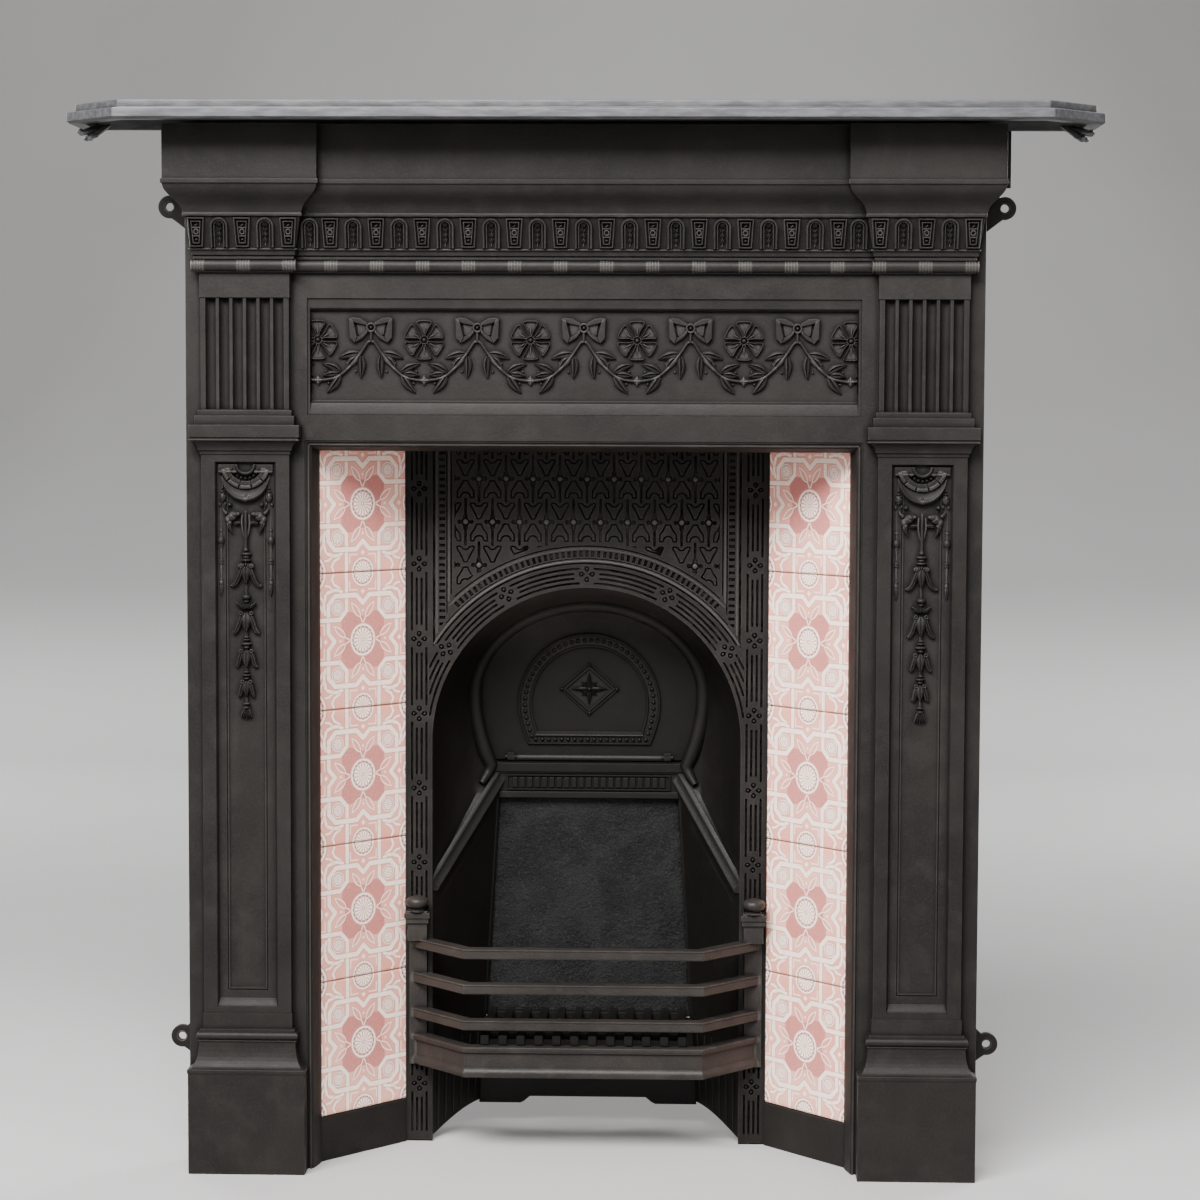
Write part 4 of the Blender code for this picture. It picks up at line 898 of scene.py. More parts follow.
def cornice_ornament():
    pitch = 0.0499
    shapes = []

    def on_band(items):
        return [warp(item, lambda px, py, pz: (px, py + band_y(px, pz), pz)) for item in items]

    for index in range(-5, 6):
        shapes += on_band(egg_unit(index * pitch))
    for index in range(-6, 6):
        shapes += on_band(dart_unit((index + 0.5) * pitch)) if index not in (-6,) else []
        if index != -6:
            shapes += reel_group((index + 0.5) * pitch, frieze_plane)
    for side in (-1, 1):
        edge = side * 5.5 * pitch
        shapes += on_band(dart_unit(edge)) if side < 0 else []
        shapes += reel_group(edge, frieze_plane) if side < 0 else []
        cut = side * 0.2965
        shapes += on_band(egg_unit(cut))
        for step in (-0.5, 0.5):
            shapes += on_band(egg_unit(side * shaft_centre + step * pitch))
        for step in (-1, 0, 1):
            shapes += on_band(dart_unit(side * shaft_centre + step * pitch))
            shapes += reel_group(side * shaft_centre + step * pitch, shaft_front)
    return shapes


def petal_outline():
    half = [(1.7, 3.6), (2.5, 7.0), (4.1, 10.5), (6.2, 14.0), (8.1, 17.0), (8.6, 18.6), (8.2, 20.1), (6.4, 21.1),
            (3.0, 21.5)]
    points = [(x * mm, z * mm) for x, z in half]
    return points + [(0.0, 21.5 * mm)] + [(-x, z) for x, z in reversed(points)]


def rosette(x, z):
    shapes = []
    for index in range(6):
        petal = dish(petal_outline(), 4.0 * mm, 1.25 * mm, 2.9 * mm)
        petal = join([petal, tube([(0, -1.2 * mm, 4 * mm), (0, -2.2 * mm, 10 * mm), (0, -1.4 * mm, 17 * mm)],
                                  [1.0 * mm, 0.9 * mm, 0.3 * mm], 6)])
        turned_petal = turn_about(petal, 0.0, 0.0, index * math.pi / 3)
        shapes.append(shifted(turned_petal, x, 0.0, z))
    shapes.append(ring_shape(x, z, 4.2 * mm, 0.9 * mm, -1.6 * mm, 18))
    shapes.append(ball(x, -1.2 * mm, z, 2.7 * mm, 3.0 * mm, 2.7 * mm, 12, 6))
    return shapes


def ribbon(points, height, edge=0.8 * mm):
    return emboss([(x * mm, z * mm) for x, z in points], height, edge)


def half_bow():
    """Left loop and tail of the ribbon, in millimetres about the ring."""
    shapes = [ribbon([(-4.2, 4.6), (-11.4, 9.8), (-19.5, 9.4), (-16.2, 5.2), (-14.2, -8.2), (-8.8, -10.2),
                      (-4.4, -3.8)], 1.6 * mm)]
    shapes.append(ribbon([(-3.6, 5.2), (-4.4, 2.2), (-15.6, 4.6), (-20.5, 6.2), (-23.6, 10.2), (-19.4, 11.0),
                          (-12.4, 10.4)], 4.2 * mm))
    shapes.append(ribbon([(-23.9, 10.4), (-19.4, 8.0), (-15.0, -10.4), (-17.8, -16.8), (-23.3, -11.0)], 5.2 * mm))
    shapes.append(ribbon([(-17.6, -16.4), (-15.2, -10.2), (-8.0, -6.6), (-4.6, -2.2), (-3.6, -5.4),
                          (-8.6, -11.4)], 4.0 * mm))
    return shapes


def half_garland():
    """Right-hand branch from the bow to the knot, in millimetres about the bow's ring."""
    stem = spline([(1.2, -15.0), (4.3, -17.0), (12.2, -28.8), (25.3, -44.5), (37.0, -53.7), (50.2, -57.0),
                   (59.0, -57.4)], 5)
    shapes = [tube([(x * mm, -2.2 * mm, z * mm) for x, z in stem], 1.55 * mm, 8)]
    for foot, tip, width, bend in (((12.2, -28.0), (35.4, -33.6), 8.4, 0.06), ((10.8, -31.0), (11.4, -55.4), 7.8, -0.05),
                                   ((14.2, -31.5), (27.0, -45.6), 8.6, 0.08), ((33.0, -48.6), (53.8, -39.4), 8.0, 0.08),
                                   ((36.0, -50.4), (53.0, -52.4), 7.2, 0.04), ((33.6, -51.6), (48.4, -71.0), 8.2, -0.06)):
        shapes.append(leaf((foot[0] * mm, foot[1] * mm), (tip[0] * mm, tip[1] * mm), width * 1.22 * mm, 4.4 * mm, bend,
                           groove=0.55))
    for x, z in ((26.2, -38.6), (16.8, -47.6), (49.4, -47.6), (46.4, -60.6)):
        shapes.append(ball(x * mm, -1.0 * mm, z * mm, 1.5 * mm, 1.8 * mm, 1.5 * mm, 8, 5))
    return shapes


def clip_right(shape, limit):
    """Drops what lies past a limit to the side, by sliding it back to it."""
    verts, faces = shape
    return [(max(-limit, min(limit, x)), y, z) for x, y, z in verts], faces


def frieze_ornament():
    pitch = 0.1162
    y = frieze_plane + 0.008
    limit = 0.2975
    bow = []
    for item in half_bow():
        bow += [item, mirrored(item)]
    bow.append(ring_shape(0.0, 0.0, 4.4 * mm, 1.25 * mm, -2.6 * mm, 20))
    bow.append(ball(0.0, -1.0 * mm, 0.0, 2.2 * mm, 2.6 * mm, 2.2 * mm, 10, 6))
    bow.append(tube([(0.0, -1.6 * mm, -4.0 * mm), (0.0, -1.6 * mm, -15.6 * mm)], 1.5 * mm, 7))
    for item in half_garland():
        bow += [item, mirrored(item)]
    unit = join(bow)
    shapes = []
    for index in range(-2, 3):
        shapes.append(shifted(unit, index * pitch, y, 0.9325))
    for side in (-1, 1):
        branch = join([item if side < 0 else mirrored(item) for item in half_garland()])
        placed = shifted(branch, side * 3 * pitch, y, 0.9325)
        shapes.append(clip_right(placed, limit))
    for index in range(-3, 3):
        x = (index + 0.5) * pitch
        flower = shifted(join(rosette(x, 0.9190)), 0.0, y, 0.0)
        shapes.append(clip_right(flower, limit))
        knot = join([ball(x, -1.2 * mm, 0.8750, 2.0 * mm, 2.6 * mm, 6.0 * mm, 10, 6),
                     ring_shape(x, 0.8750, 2.9 * mm, 0.9 * mm, -1.4 * mm, 12)])
        shapes.append(clip_right(shifted(knot, 0.0, y, 0.0), limit))
    return shapes


def blade(path, widths, height, sink=3.6 * mm, groove=0.35):
    """Leaf with a grooved rib along a curved line on the face."""
    rings = []
    count = len(path)
    for index, (x, z) in enumerate(path):
        before = path[max(index - 1, 0)]
        after = path[min(index + 1, count - 1)]
        run = math.hypot(after[0] - before[0], after[1] - before[1])
        aside = (-(after[1] - before[1]) / run, (after[0] - before[0]) / run)
        half = widths[index] / 2
        rise = height * (0.55 + 0.45 * math.sin(math.pi * min(1.0, 0.15 + 0.7 * index / (count - 1))))
        ring = []
        for share, level in ((-1.0, None), (-1.0, 0.25), (-0.7, 0.8), (-0.3, 0.95), (0.0, 1.0 - groove),
                             (0.3, 0.95), (0.7, 0.8), (1.0, 0.25), (1.0, None)):
            y = sink if level is None else -rise * level
            ring.append((x + aside[0] * half * share, y, z + aside[1] * half * share))
        rings.append(ring)
    return loft(rings)


def bulge(x, z, rx, rz, rise, sides=12, rows=6):
    """Bead or knob, half sunk in the face; millimetres."""
    return ball(x * mm, 0.0, z * mm, rx * mm, rise * mm, rz * mm, sides, rows)


def in_mm(points):
    return [tuple(value * mm for value in point) for point in points]


def husk(top, foot, width, spread, tip, volute, height=4.4):
    """Bell of three leaves with a pair of volutes at its head; millimetres about the drop's axis."""
    shapes = [leaf((0.0, (top + 1.0) * mm), (0.0, foot * mm), width * 1.1 * mm, height * 1.3 * mm, blunt=0.62, sink=3.6 * mm,
                   groove=0.25)]
    for side in (-1, 1):
        path = spline(in_mm([(side * volute * 0.72, top), (side * (volute + 0.9), (top * 2 + tip) / 3),
                             (side * (volute + spread) * 0.52, tip + 3.4), (side * spread, tip)]), 4)
        count = len(path)
        widths = [(1.1 + 5.2 * math.sin(math.pi * min(0.98, 0.16 + 0.78 * k / (count - 1))) ** 0.7) * mm
                  for k in range(count)]
        shapes.append(blade(path, widths, height * 0.86 * mm))
        shapes.append(ring_shape(side * volute * mm, (top + 0.4) * mm, 1.6 * mm, 1.0 * mm, -2.6 * mm, 12, 1.6))
    return shapes


def mask():
    """Horned head with a bar in its mouth, left of the axis; millimetres."""
    shapes = [bulge(-16.0, 725.6, 6.4, 5.6, 5.0), bulge(-12.0, 728.2, 4.6, 3.4, 5.6), bulge(-8.4, 728.6, 2.8, 2.2, 4.4),
              bulge(-19.4, 722.6, 3.8, 5.2, 4.4), bulge(-17.6, 719.0, 3.0, 3.4, 4.8), bulge(-14.2, 724.8, 1.3, 1.2, 6.2),
              bulge(-10.0, 727.6, 0.9, 0.9, 6.0)]
    shapes.append(blade(spline(in_mm([(-19.0, 719.0), (-17.6, 713.6), (-14.6, 707.2)]), 4),
                        [value * mm for value in (5.4, 5.4, 5.0, 4.4, 3.8, 3.0, 2.2, 1.4, 0.6)], 4.0 * mm))
    horn = spline([(-25.0 * mm, -1.0 * mm, 735.4 * mm), (-23.6 * mm, -2.6 * mm, 732.0 * mm),
                   (-20.4 * mm, -3.6 * mm, 729.0 * mm)], 4)
    shapes.append(tube(horn, [value * mm for value in (0.4, 0.8, 1.2, 1.5, 1.7, 1.9, 2.0, 2.0, 1.8)], 8))
    shapes.append(blade(in_mm([(-13.4, 718.4), (-10.6, 718.9), (-7.4, 719.2), (-3.4, 719.0)]),
                        [value * mm for value in (2.2, 4.4, 3.6, 2.6)], 3.8 * mm))
    return shapes


def side_chain():
    """Tassel under the swag's horn and the string of beads below it, left of the axis."""
    shapes = [bulge(-25.5, 757.2, 1.6, 1.6, 2.2, 8, 4), bulge(-25.5, 753.2, 2.6, 1.7, 2.8, 10, 4),
              bulge(-25.5, 747.0, 4.4, 5.8, 3.6), bulge(-17.4, 739.0, 2.7, 2.6, 4.6), bulge(-28.6, 738.8, 2.0, 2.6, 2.4),
              bulge(-22.6, 739.6, 1.5, 2.6, 2.4)]
    for dx, z in ((-27.6, 749.5), (-24.2, 748.4), (-26.4, 744.6), (-23.6, 751.0), (-27.8, 745.8)):
        shapes.append(bulge(dx, z, 1.3, 1.5, 4.4, 8, 4))
    shapes.append(tube(in_mm([(-25.6, -0.2, 772.0), (-25.5, -0.3, 758.0)]), 0.6 * mm, 6))
    levels = [(736.5, 0.5), (712.6, 0.5), (712.2, 1.9), (710.6, 2.1), (709.6, 0.9), (704.4, 1.0), (703.4, 2.6),
              (701.4, 3.9), (699.2, 4.2), (697.0, 3.7), (695.6, 2.2), (694.6, 2.6), (686.4, 0.8), (679.6, 0.8),
              (679.2, 2.2), (677.4, 2.2), (676.9, 1.1), (676.4, 2.6), (674.6, 2.7), (673.8, 1.2), (669.0, 2.0),
              (664.6, 1.0), (659.0, 0.8), (658.6, 1.9), (657.0, 1.9), (656.2, 1.0), (654.4, 2.3), (652.4, 2.3),
              (651.6, 1.2)]
    shapes.append(shifted(half_turned(-27.4 * mm, [(z * mm, r * mm) for z, r in levels], 8, 0.9)))
    shapes.append(leaf((-27.4 * mm, 652.0 * mm), (-27.4 * mm, 638.0 * mm), 4.6 * mm, 2.4 * mm, blunt=0.6))
    return shapes


def swag():
    """Rails, ring moulding, beads, fan and crescent at the panel's head; millimetres about the arcs' centre."""
    centre = 783.0

    def arc(radius, start, end, steps):
        return [(radius * math.cos(math.radians(start + (end - start) * k / steps)),
                 centre + radius * math.sin(math.radians(start + (end - start) * k / steps)))
                for k in range(steps + 1)]

    shapes = []
    for side in (-1, 1):
        x0, x1 = sorted((side * 9.2, side * 30.0))
        shapes.append(box(x0 * mm, x1 * mm, -1.2 * mm, 3.6 * mm, 776.2 * mm, 783.0 * mm, 0.5 * mm))
        shapes.append(box(x0 * mm, x1 * mm, -2.6 * mm, 3.6 * mm, 773.6 * mm, 776.4 * mm, 0.9 * mm))
    ring = arc(10.1, 180, 360, 20)
    rings = []
    for x, z in ring:
        out = (x / 10.1, (z - centre) / 10.1)
        rings.append([((x + out[0] * r) * mm, -y * mm, (z + out[1] * r) * mm)
                      for r, y in ((-1.9, -3.6), (-1.9, 2.2), (-1.3, 3.4), (-0.4, 3.9), (0.6, 3.6), (1.4, 2.6),
                                   (1.9, 1.6), (1.9, -3.6))])
    shapes.append(loft(rings))
    for k in range(9):
        angle = math.radians(198 + 18 * k)
        shapes.append(bulge(15.2 * math.cos(angle), centre + 15.2 * math.sin(angle), 1.5, 1.5, 3.0, 8, 4))
    for k in range(5):
        start = 192 + 31.4 * k
        outline = arc(18.4, start, start + 29.6, 6) + arc(27.0, start + 29.9, start - 0.3, 8)
        outline = in_mm(outline)
        shapes.append(stack([(-3.6 * mm, outline), (1.2 * mm, outline), (1.6 * mm, offset(outline, 0.6 * mm))]))
        lip = in_mm(arc(22.6, start + 0.4, start + 29.2, 6) + arc(27.2, start + 29.7, start - 0.1, 8))
        shapes.append(emboss(lip, 3.4 * mm, 1.5 * mm, 3.6 * mm))
    steps = 24
    rings = []
    for k in range(steps + 1):
        angle = math.radians(205 + 130 * k / steps)
        share = math.sin(math.pi * k / steps)
        inner = 27.9 + 1.0 * (1 - share)
        outer = inner + 0.6 + 12.0 * share ** 1.25
        ring = []
        for at, y in ((0.0, -3.6), (0.0, 0.6), (0.45, 0.9), (0.62, 2.4 * share + 0.6), (0.80, 3.9 * share + 0.5),
                      (0.94, 3.4 * share + 0.4), (1.0, 1.8 * share + 0.2), (1.0, -3.6)):
            r = inner + (outer - inner) * at
            ring.append((r * math.cos(angle) * mm, -y * mm, (centre + r * math.sin(angle)) * mm))
        rings.append(ring)
    shapes.append(loft(rings))
    for dx, z, r in ((-3.2, 747.6, 1.7), (0.0, 748.6, 1.9), (3.2, 747.6, 1.7), (0.0, 744.8, 2.6)):
        shapes.append(bulge(dx, z, r, r, 3.6, 8, 4))
    return shapes


def shaft_drop(side):
    """Whole drop on one shaft: swag, masks, spindle and husks down to the tassel."""
    shapes = swag()
    crown = len(shapes)
    shapes += both(mask() + side_chain())
    shapes.append(tube(in_mm([(0.0, -2.4, 732.4), (0.0, -3.0, 722.0), (0.0, -2.6, 704.0), (0.0, -2.2, 690.0)]),
                       [1.2 * mm, 1.7 * mm, 1.9 * mm, 1.9 * mm], 8))
    for flank in (-1, 1):
        strand = spline(in_mm([(flank * 3.6, -1.8, 728.0), (flank * 4.2, -2.2, 718.0), (flank * 2.6, -1.8, 708.4),
                               (flank * 1.2, -1.4, 704.0)]), 3)
        shapes.append(tube(strand, 1.15 * mm, 7))
    for z, half, rise, tall in ((689.4, 2.5, 4.6, 1.8), (685.0, 6.3, 4.8, 2.3), (678.2, 5.7, 4.6, 1.9),
                                (681.6, 3.8, 3.6, 1.8), (637.8, 5.6, 4.8, 3.4), (633.0, 3.0, 3.6, 1.8),
                                (593.8, 3.0, 4.2, 1.3), (590.8, 3.6, 4.4, 1.4), (586.4, 6.4, 4.4, 2.1),
                                (582.6, 3.6, 3.6, 2.0), (555.4, 3.1, 4.2, 1.5), (551.8, 5.0, 4.4, 1.8),
                                (548.2, 3.4, 3.6, 1.8), (520.4, 3.8, 4.2, 1.5), (516.2, 3.8, 4.2, 1.5)):
        shapes.append(bulge(0.0, z, half, tall, rise))
    shapes.append(half_turned(0.0, [(z * mm, r * mm) for z, r in ((690.0, 1.8), (676.0, 2.2))]))
    shapes.append(half_turned(0.0, [(z * mm, r * mm) for z, r in ((652.0, 1.6), (630.0, 1.4))]))
    shapes.append(half_turned(0.0, [(z * mm, r * mm) for z, r in ((599.0, 1.5), (576.0, 1.6))]))
    shapes.append(half_turned(0.0, [(z * mm, r * mm) for z, r in ((560.0, 1.4), (542.0, 1.6))]))
    shapes.append(half_turned(0.0, [(z * mm, r * mm) for z, r in ((528.0, 1.5), (513.0, 1.5))]))
    for k in range(-3, 4):
        shapes.append(bulge(k * 2.5, 673.4 - abs(k) * 0.6, 1.7, 2.9, 4.8, 8, 5))
    shapes += husk(671.6, 650.4, 9.8, 16.0, 649.8, 5.2)
    shapes.append(bulge(-16.2, 650.2, 1.8, 1.3, 3.4, 8, 4))
    shapes.append(bulge(16.2, 650.2, 1.8, 1.3, 3.4, 8, 4))
    for dx, tilt in ((-7.6, 0.5), (7.6, -0.5), (-3.2, 0.2), (3.2, -0.2), (0.0, 0.0)):
        shapes.append(blade(in_mm([(dx * 0.3, 625.4), (dx * 0.8, 628.0), (dx * 1.4, 631.2)]),
                            [2.4 * mm, 4.4 * mm, 1.0 * mm], 4.4 * mm))
    shapes += husk(619.6, 597.4, 11.0, 14.8, 597.8, 5.6)
    shapes += husk(578.0, 558.8, 10.0, 11.4, 561.0, 5.8)
    shapes.append(bulge(11.4, 561.8, 1.8, 1.2, 3.4, 8, 4))
    shapes += husk(544.2, 527.2, 8.8, 8.8, 528.2, 4.3)
    for dx in (-5.4, -2.7, 0.0, 2.7, 5.4):
        shapes.append(blade(in_mm([(dx * 0.4, 515.0), (dx * 0.8, 509.0), (dx * 1.1, 503.4 + abs(dx) * 0.4)]),
                            [2.2 * mm, 3.2 * mm, 0.8 * mm], 3.8 * mm))
    return [shifted(item, side * shaft_centre, shaft_front + (0.0030 if index < crown else 0.0046), 0.0)
            for index, item in enumerate(shapes)]


def lug_outline(x, z, root, low, high):
    points = [(root, high), (root, low)]
    for step in range(21):
        angle = math.radians(-100 + 215 * step / 20)
        points.append((x + 0.0125 * math.cos(angle), z + 0.0125 * math.sin(angle)))
    return points


def lugs():
    """Screw ears against the wall with a hole in each, and the strips behind the fascia's ends."""
    shapes = []
    root = flange_half - 0.003
    for x, z, low, high in ((0.459, 1.065, 0.0312, 0.024), (0.4506, 0.139, 0.024, 0.024)):
        outline = lug_outline(x, z, root, z - low, z + high)
        shapes += both([filled(outline, [ellipse(x, z, 0.0045, 0.0045, 24)], wall_depth - iron, wall_depth, 0.6 * mm)])
        shapes += both([ring_shape(x, z, 0.0058, 0.0007, wall_depth - iron, 24)])
    inner = shaft_outer + 0.035 - 0.003
    shapes += both([box(inner, inner + 0.016, wall_depth - iron, wall_depth, 1.087, shelf_bottom - fit_gap, 0.5 * mm)])
    return shapes


def build_surround():
    casting = make_object("surround", surround_shell(), black_iron)
    cuts = [opening_cutter(), frieze_recess(), shaft_recess(-1), shaft_recess(1)]
    for side in (-1, 1):
        for index in range(6):
            cuts.append(flute(side * shaft_centre + (index - 2.5) * 0.0148))
    cut_away(casting, cuts)
    added = make_object("ornament", join(cornice_ornament() + frieze_ornament() + shaft_drop(-1) + shaft_drop(1)
                                         + lugs()), black_iron, 50.0)
    unite([casting, added], "surround_casting_detail")
    return settle(casting, ["surround_casting"])


def unite(items, name):
    """Joins meshes into the first of them, under a new name."""
    work = bmesh.new()
    for item in items:
        work.from_mesh(item.data)
    mesh = bpy.data.meshes.new(name)
    for material in items[0].data.materials:
        mesh.materials.append(material)
    work.to_mesh(mesh)
    work.free()
    for item in items[1:]:
        bpy.data.objects.remove(item, do_unlink=True)
    items[0].data = mesh
    items[0].name = name


build_surround()


# ---- Mantel shelf ----

shelf_half = 0.492
shelf_front = -0.066
shelf_cant = 0.056


def shelf_outline(grow, back=wall_depth, corner_edge=0.0015):
    half = shelf_half + grow * 0.4
    side = shelf_half + shelf_cant + grow
    front = shelf_front + 0.009 - grow
    corner = front + shelf_cant + grow * 0.6
    outline = [(-half, front), (half, front), (side, corner), (side, back), (-side, back), (-side, corner)]
    return fillet(outline, corner_edge, 2, True, keep=(3, 4))


def shelf_leaf():
    """Acanthus tip that curls under the shelf's end: three lobes and a pendent bud."""
    side = shelf_half + shelf_cant
    shapes = []
    front = shelf_front + 0.009 + shelf_cant

    def lobe(points, widths, thick):
        rings = []
        for index, (x, y, z) in enumerate(points):
            ring = []
            for share, rise in ((-1.0, 0.0), (-0.6, -0.7), (0.0, -1.0), (0.6, -0.7), (1.0, 0.0), (0.5, 0.6),
                                (0.0, 0.5), (-0.5, 0.6)):
                ring.append((x + share * widths[index] * 0.45, y + share * widths[index] * 0.5, z + rise * thick[index]))
            rings.append(ring)
        return loft(rings)

    x0 = side
    paths = [
        [(x0 - 0.034, front + 0.004, 1.1475), (x0 - 0.028, front + 0.004, 1.1445), (x0 - 0.022, front + 0.003, 1.1400),
         (x0 - 0.017, front + 0.002, 1.1350), (x0 - 0.015, front + 0.001, 1.1325)],
        [(x0 - 0.026, front + 0.010, 1.1480), (x0 - 0.018, front + 0.008, 1.1450), (x0 - 0.011, front + 0.006, 1.1420),
         (x0 - 0.006, front + 0.004, 1.1400), (x0 - 0.003, front + 0.003, 1.1405)],
        [(x0 - 0.030, front + 0.020, 1.1480), (x0 - 0.022, front + 0.018, 1.1430), (x0 - 0.015, front + 0.016, 1.1380),
         (x0 - 0.010, front + 0.013, 1.1350), (x0 - 0.008, front + 0.012, 1.1340)],
    ]
    for path in paths:
        shapes.append(lobe(path, (0.012, 0.016, 0.015, 0.010, 0.004), (0.003, 0.0042, 0.0042, 0.0034, 0.0016)))
    for x, y, z, r in ((x0 - 0.0160, front + 0.0030, 1.1345, 0.0034), (x0 - 0.0050, front + 0.0050, 1.1420, 0.0028),
                       (x0 - 0.0200, front + 0.0100, 1.1390, 0.0040), (x0 - 0.0130, front + 0.0120, 1.1370, 0.0032)):
        shapes.append(ball(x, y, z, r, r, r, 10, 6))
    return shapes


def build_shelf():
    top, under = total_height, shelf_bottom
    levels = [(top, -0.0012), (top - 0.0003, -0.0005), (top - 0.0012, 0.0), (top - 0.0064, 0.0), (top - 0.0072, -0.0004),
              (top - 0.0078, -0.0003), (top - 0.0084, 0.0010), (top - 0.0088, 0.0072), (top - 0.0092, 0.0084),
              (top - 0.0102, 0.0090), (under + 0.0028, 0.0090), (under + 0.0020, 0.0084), (under + 0.0014, 0.0070),
              (under + 0.0004, 0.0062), (under, 0.0054)]
    rings = [[(x, y, z) for x, y in shelf_outline(grow)] for z, grow in levels]
    rings += [[(x, y, z) for x, y in shelf_outline(-0.010, wall_depth - 0.006)] for z in (under + 0.0002, top - 0.0066)]
    shelf = make_object("mantel_shelf_detail", join([loft(rings)] + both(shelf_leaf())), shelf_iron)
    return settle(shelf, ["mantel_shelf"])


build_shelf()


# ---- Tiled insert: frame, channels, arch plate ----

tile_outer = (opening_half - fit_gap - 0.008, frieze_plane + 0.023 + 0.009)
tile_size = 0.1524
tile_cover = 0.01243
tile_run = tile_size - 2 * tile_cover
tile_low = 0.050
tiles_top = 0.8146
recess = 0.0022


def splay_point(run, depth):
    """Plan point at a run from the tile's outer edge and a depth behind its face."""
    along = ((plate_half - tile_outer[0]) / tile_run, (plate_depth - tile_outer[1]) / tile_run)
    shift = run - tile_cover
    return (tile_outer[0] + along[0] * shift + along[1] * depth, tile_outer[1] + along[1] * shift - along[0] * depth)


def both_sides(points):
    return points + [(-x, y) for x, y in reversed(points)]


def clip(outline, px, pz, nx, nz):
    """Keeps the part of an outline on one side of a line."""
    kept = []
    count = len(outline)
    for index, (x, z) in enumerate(outline):
        x1, z1 = outline[(index + 1) % count]
        d0 = (x - px) * nx + (z - pz) * nz
        d1 = (x1 - px) * nx + (z1 - pz) * nz
        if d0 >= 0:
            kept.append((x, z))
        if (d0 >= 0) != (d1 >= 0):
            t = d0 / (d0 - d1)
            kept.append((x + (x1 - x) * t, z + (z1 - z) * t))
    return kept


def outside_circle(outline, radius):
    """Clips an outline to the outside of a circle about the arch's centre."""
    cx = sum(x for x, _ in outline) / len(outline)
    cz = sum(z for _, z in outline) / len(outline) - arch_centre
    reach = math.hypot(cx, cz)
    nx, nz = cx / reach, cz / reach
    return clip(outline, nx * radius, arch_centre + nz * radius, nx, nz)


def big_enough(outline, least=3.0):
    return len(outline) > 2 and abs(area_of(outline)) > least * mm * mm


def arc_points(radius, start, end, steps):
    """Points on the arch, by angle from the crown in degrees."""
    points = []
    for k in range(steps + 1):
        angle = math.radians(start + (end - start) * k / max(steps, 1))
        points.append((radius * math.sin(angle), arch_centre + radius * math.cos(angle)))
    return points


def arc_slot(radius, width, start, end, round_ends=True):
    steps = max(3, int(abs(end - start) / 2.2))
    outer = arc_points(radius + width / 2, start, end, steps)
    inner = arc_points(radius - width / 2, end, start, steps)
    if round_ends:
        push = math.degrees(width * 0.45 / radius)
        outer = outer + arc_points(radius, end + push, end + push, 0)
        inner = inner + arc_points(radius, start - push, start - push, 0)
    return outer + inner


def slot(x, width, z0, z1):
    half = width / 2
    return [(x - half, z0 + half * 0.8), (x, z0), (x + half, z0 + half * 0.8), (x + half, z1 - half * 0.8), (x, z1),
            (x - half, z1 - half * 0.8)]


def around(half_points):
    """Closed outline from its right half, listed from the top to the bottom, in millimetres."""
    return [(-x * mm, z * mm) for x, z in reversed(half_points)][:] + [(x * mm, z * mm) for x, z in half_points[1:-1]]


heart_half = [(0, 18.6), (1.8, 18.9), (3.2, 20.4), (4.6, 21.7), (6.4, 22.3), (9.0, 22.3), (10.4, 21.4), (10.6, 19.8),
              (9.8, 17.4), (7.6, 13.6), (5.4, 9.6), (3.9, 6.4), (3.1, 4.0), (1.9, 2.9), (0, 2.7)]
spade_half = [(0, -1.6), (2.4, -1.7), (3.6, -2.6), (4.6, -5.4), (6.6, -8.8), (9.0, -12.2), (10.1, -13.8), (10.2, -16.0),
              (10.3, -21.2), (9.8, -22.3), (6.4, -22.5), (5.0, -21.6), (4.4, -19.6), (3.4, -17.9), (1.8, -16.9),
              (0, -16.6)]
key_quarter = [(9.2, 0), (8.8, 1.4), (7.7, 2.3), (6.2, 2.4), (5.0, 1.8), (4.4, 1.7), (4.0, 2.5), (3.2, 3.4), (2.4, 4.1),
               (2.6, 5.2), (2.7, 6.4), (2.2, 7.7), (1.6, 8.5), (1.45, 9.4), (1.45, 25.2), (1.1, 26.5), (0, 27.2)]


def diaper_motifs():
    """Pierced outlines of the spandrel's pattern, and where its bosses stand."""
    limit, groove = 0.1507, 1.75 * mm
    crest = 0.806
    key = [(x, z) for x, z in key_quarter]
    key += [(-x, z) for x, z in reversed(key_quarter[:-1])]
    key += [(-x, -z) for x, z in key_quarter[1:]]
    key += [(x, -z) for x, z in reversed(key_quarter[1:-1])]
    key = [(x * mm, z * mm) for x, z in key]
    heart = around(heart_half)
    spade = around(spade_half)
    eye = ellipse(0.0, 0.0, 2.9 * mm, 2.9 * mm, 12)
    holes = []
    bosses = []

    def add(outline, dx, dz, inset):
        placed = [(x + dx, z + dz) for x, z in outline]
        for px, pz, nx, nz in ((limit - inset, 0, -1, 0), (-limit + inset, 0, 1, 0), (0, crest - inset, 0, -1)):
            placed = clip(placed, px, pz, nx, nz)
            if not big_enough(placed, 1.0):
                return False
        placed = outside_circle(placed, 0.2285 + inset)
        if big_enough(placed, 2.2):
            holes.append(placed)
            return True
        return False

    for row in range(5):
        z = 0.8142 - row * 0.0493
        shift = 0.5 if row % 2 == 0 else 0.0
        for column in range(-6, 7):
            x = (column + shift) * 0.0307
            if abs(x) < limit + 0.012:
                if math.hypot(x, z - arch_centre) > 0.2285:
                    if add(key, x, z, 0.0) and add(eye, x, z, 0.3 * mm):
                        bosses.append((x, z))
            middle = x + 0.01535
            for outline in (heart, spade):
                if add(outline, middle, z, 0.0):
                    add(offset(outline, groove), middle, z, groove)
    return holes, bosses


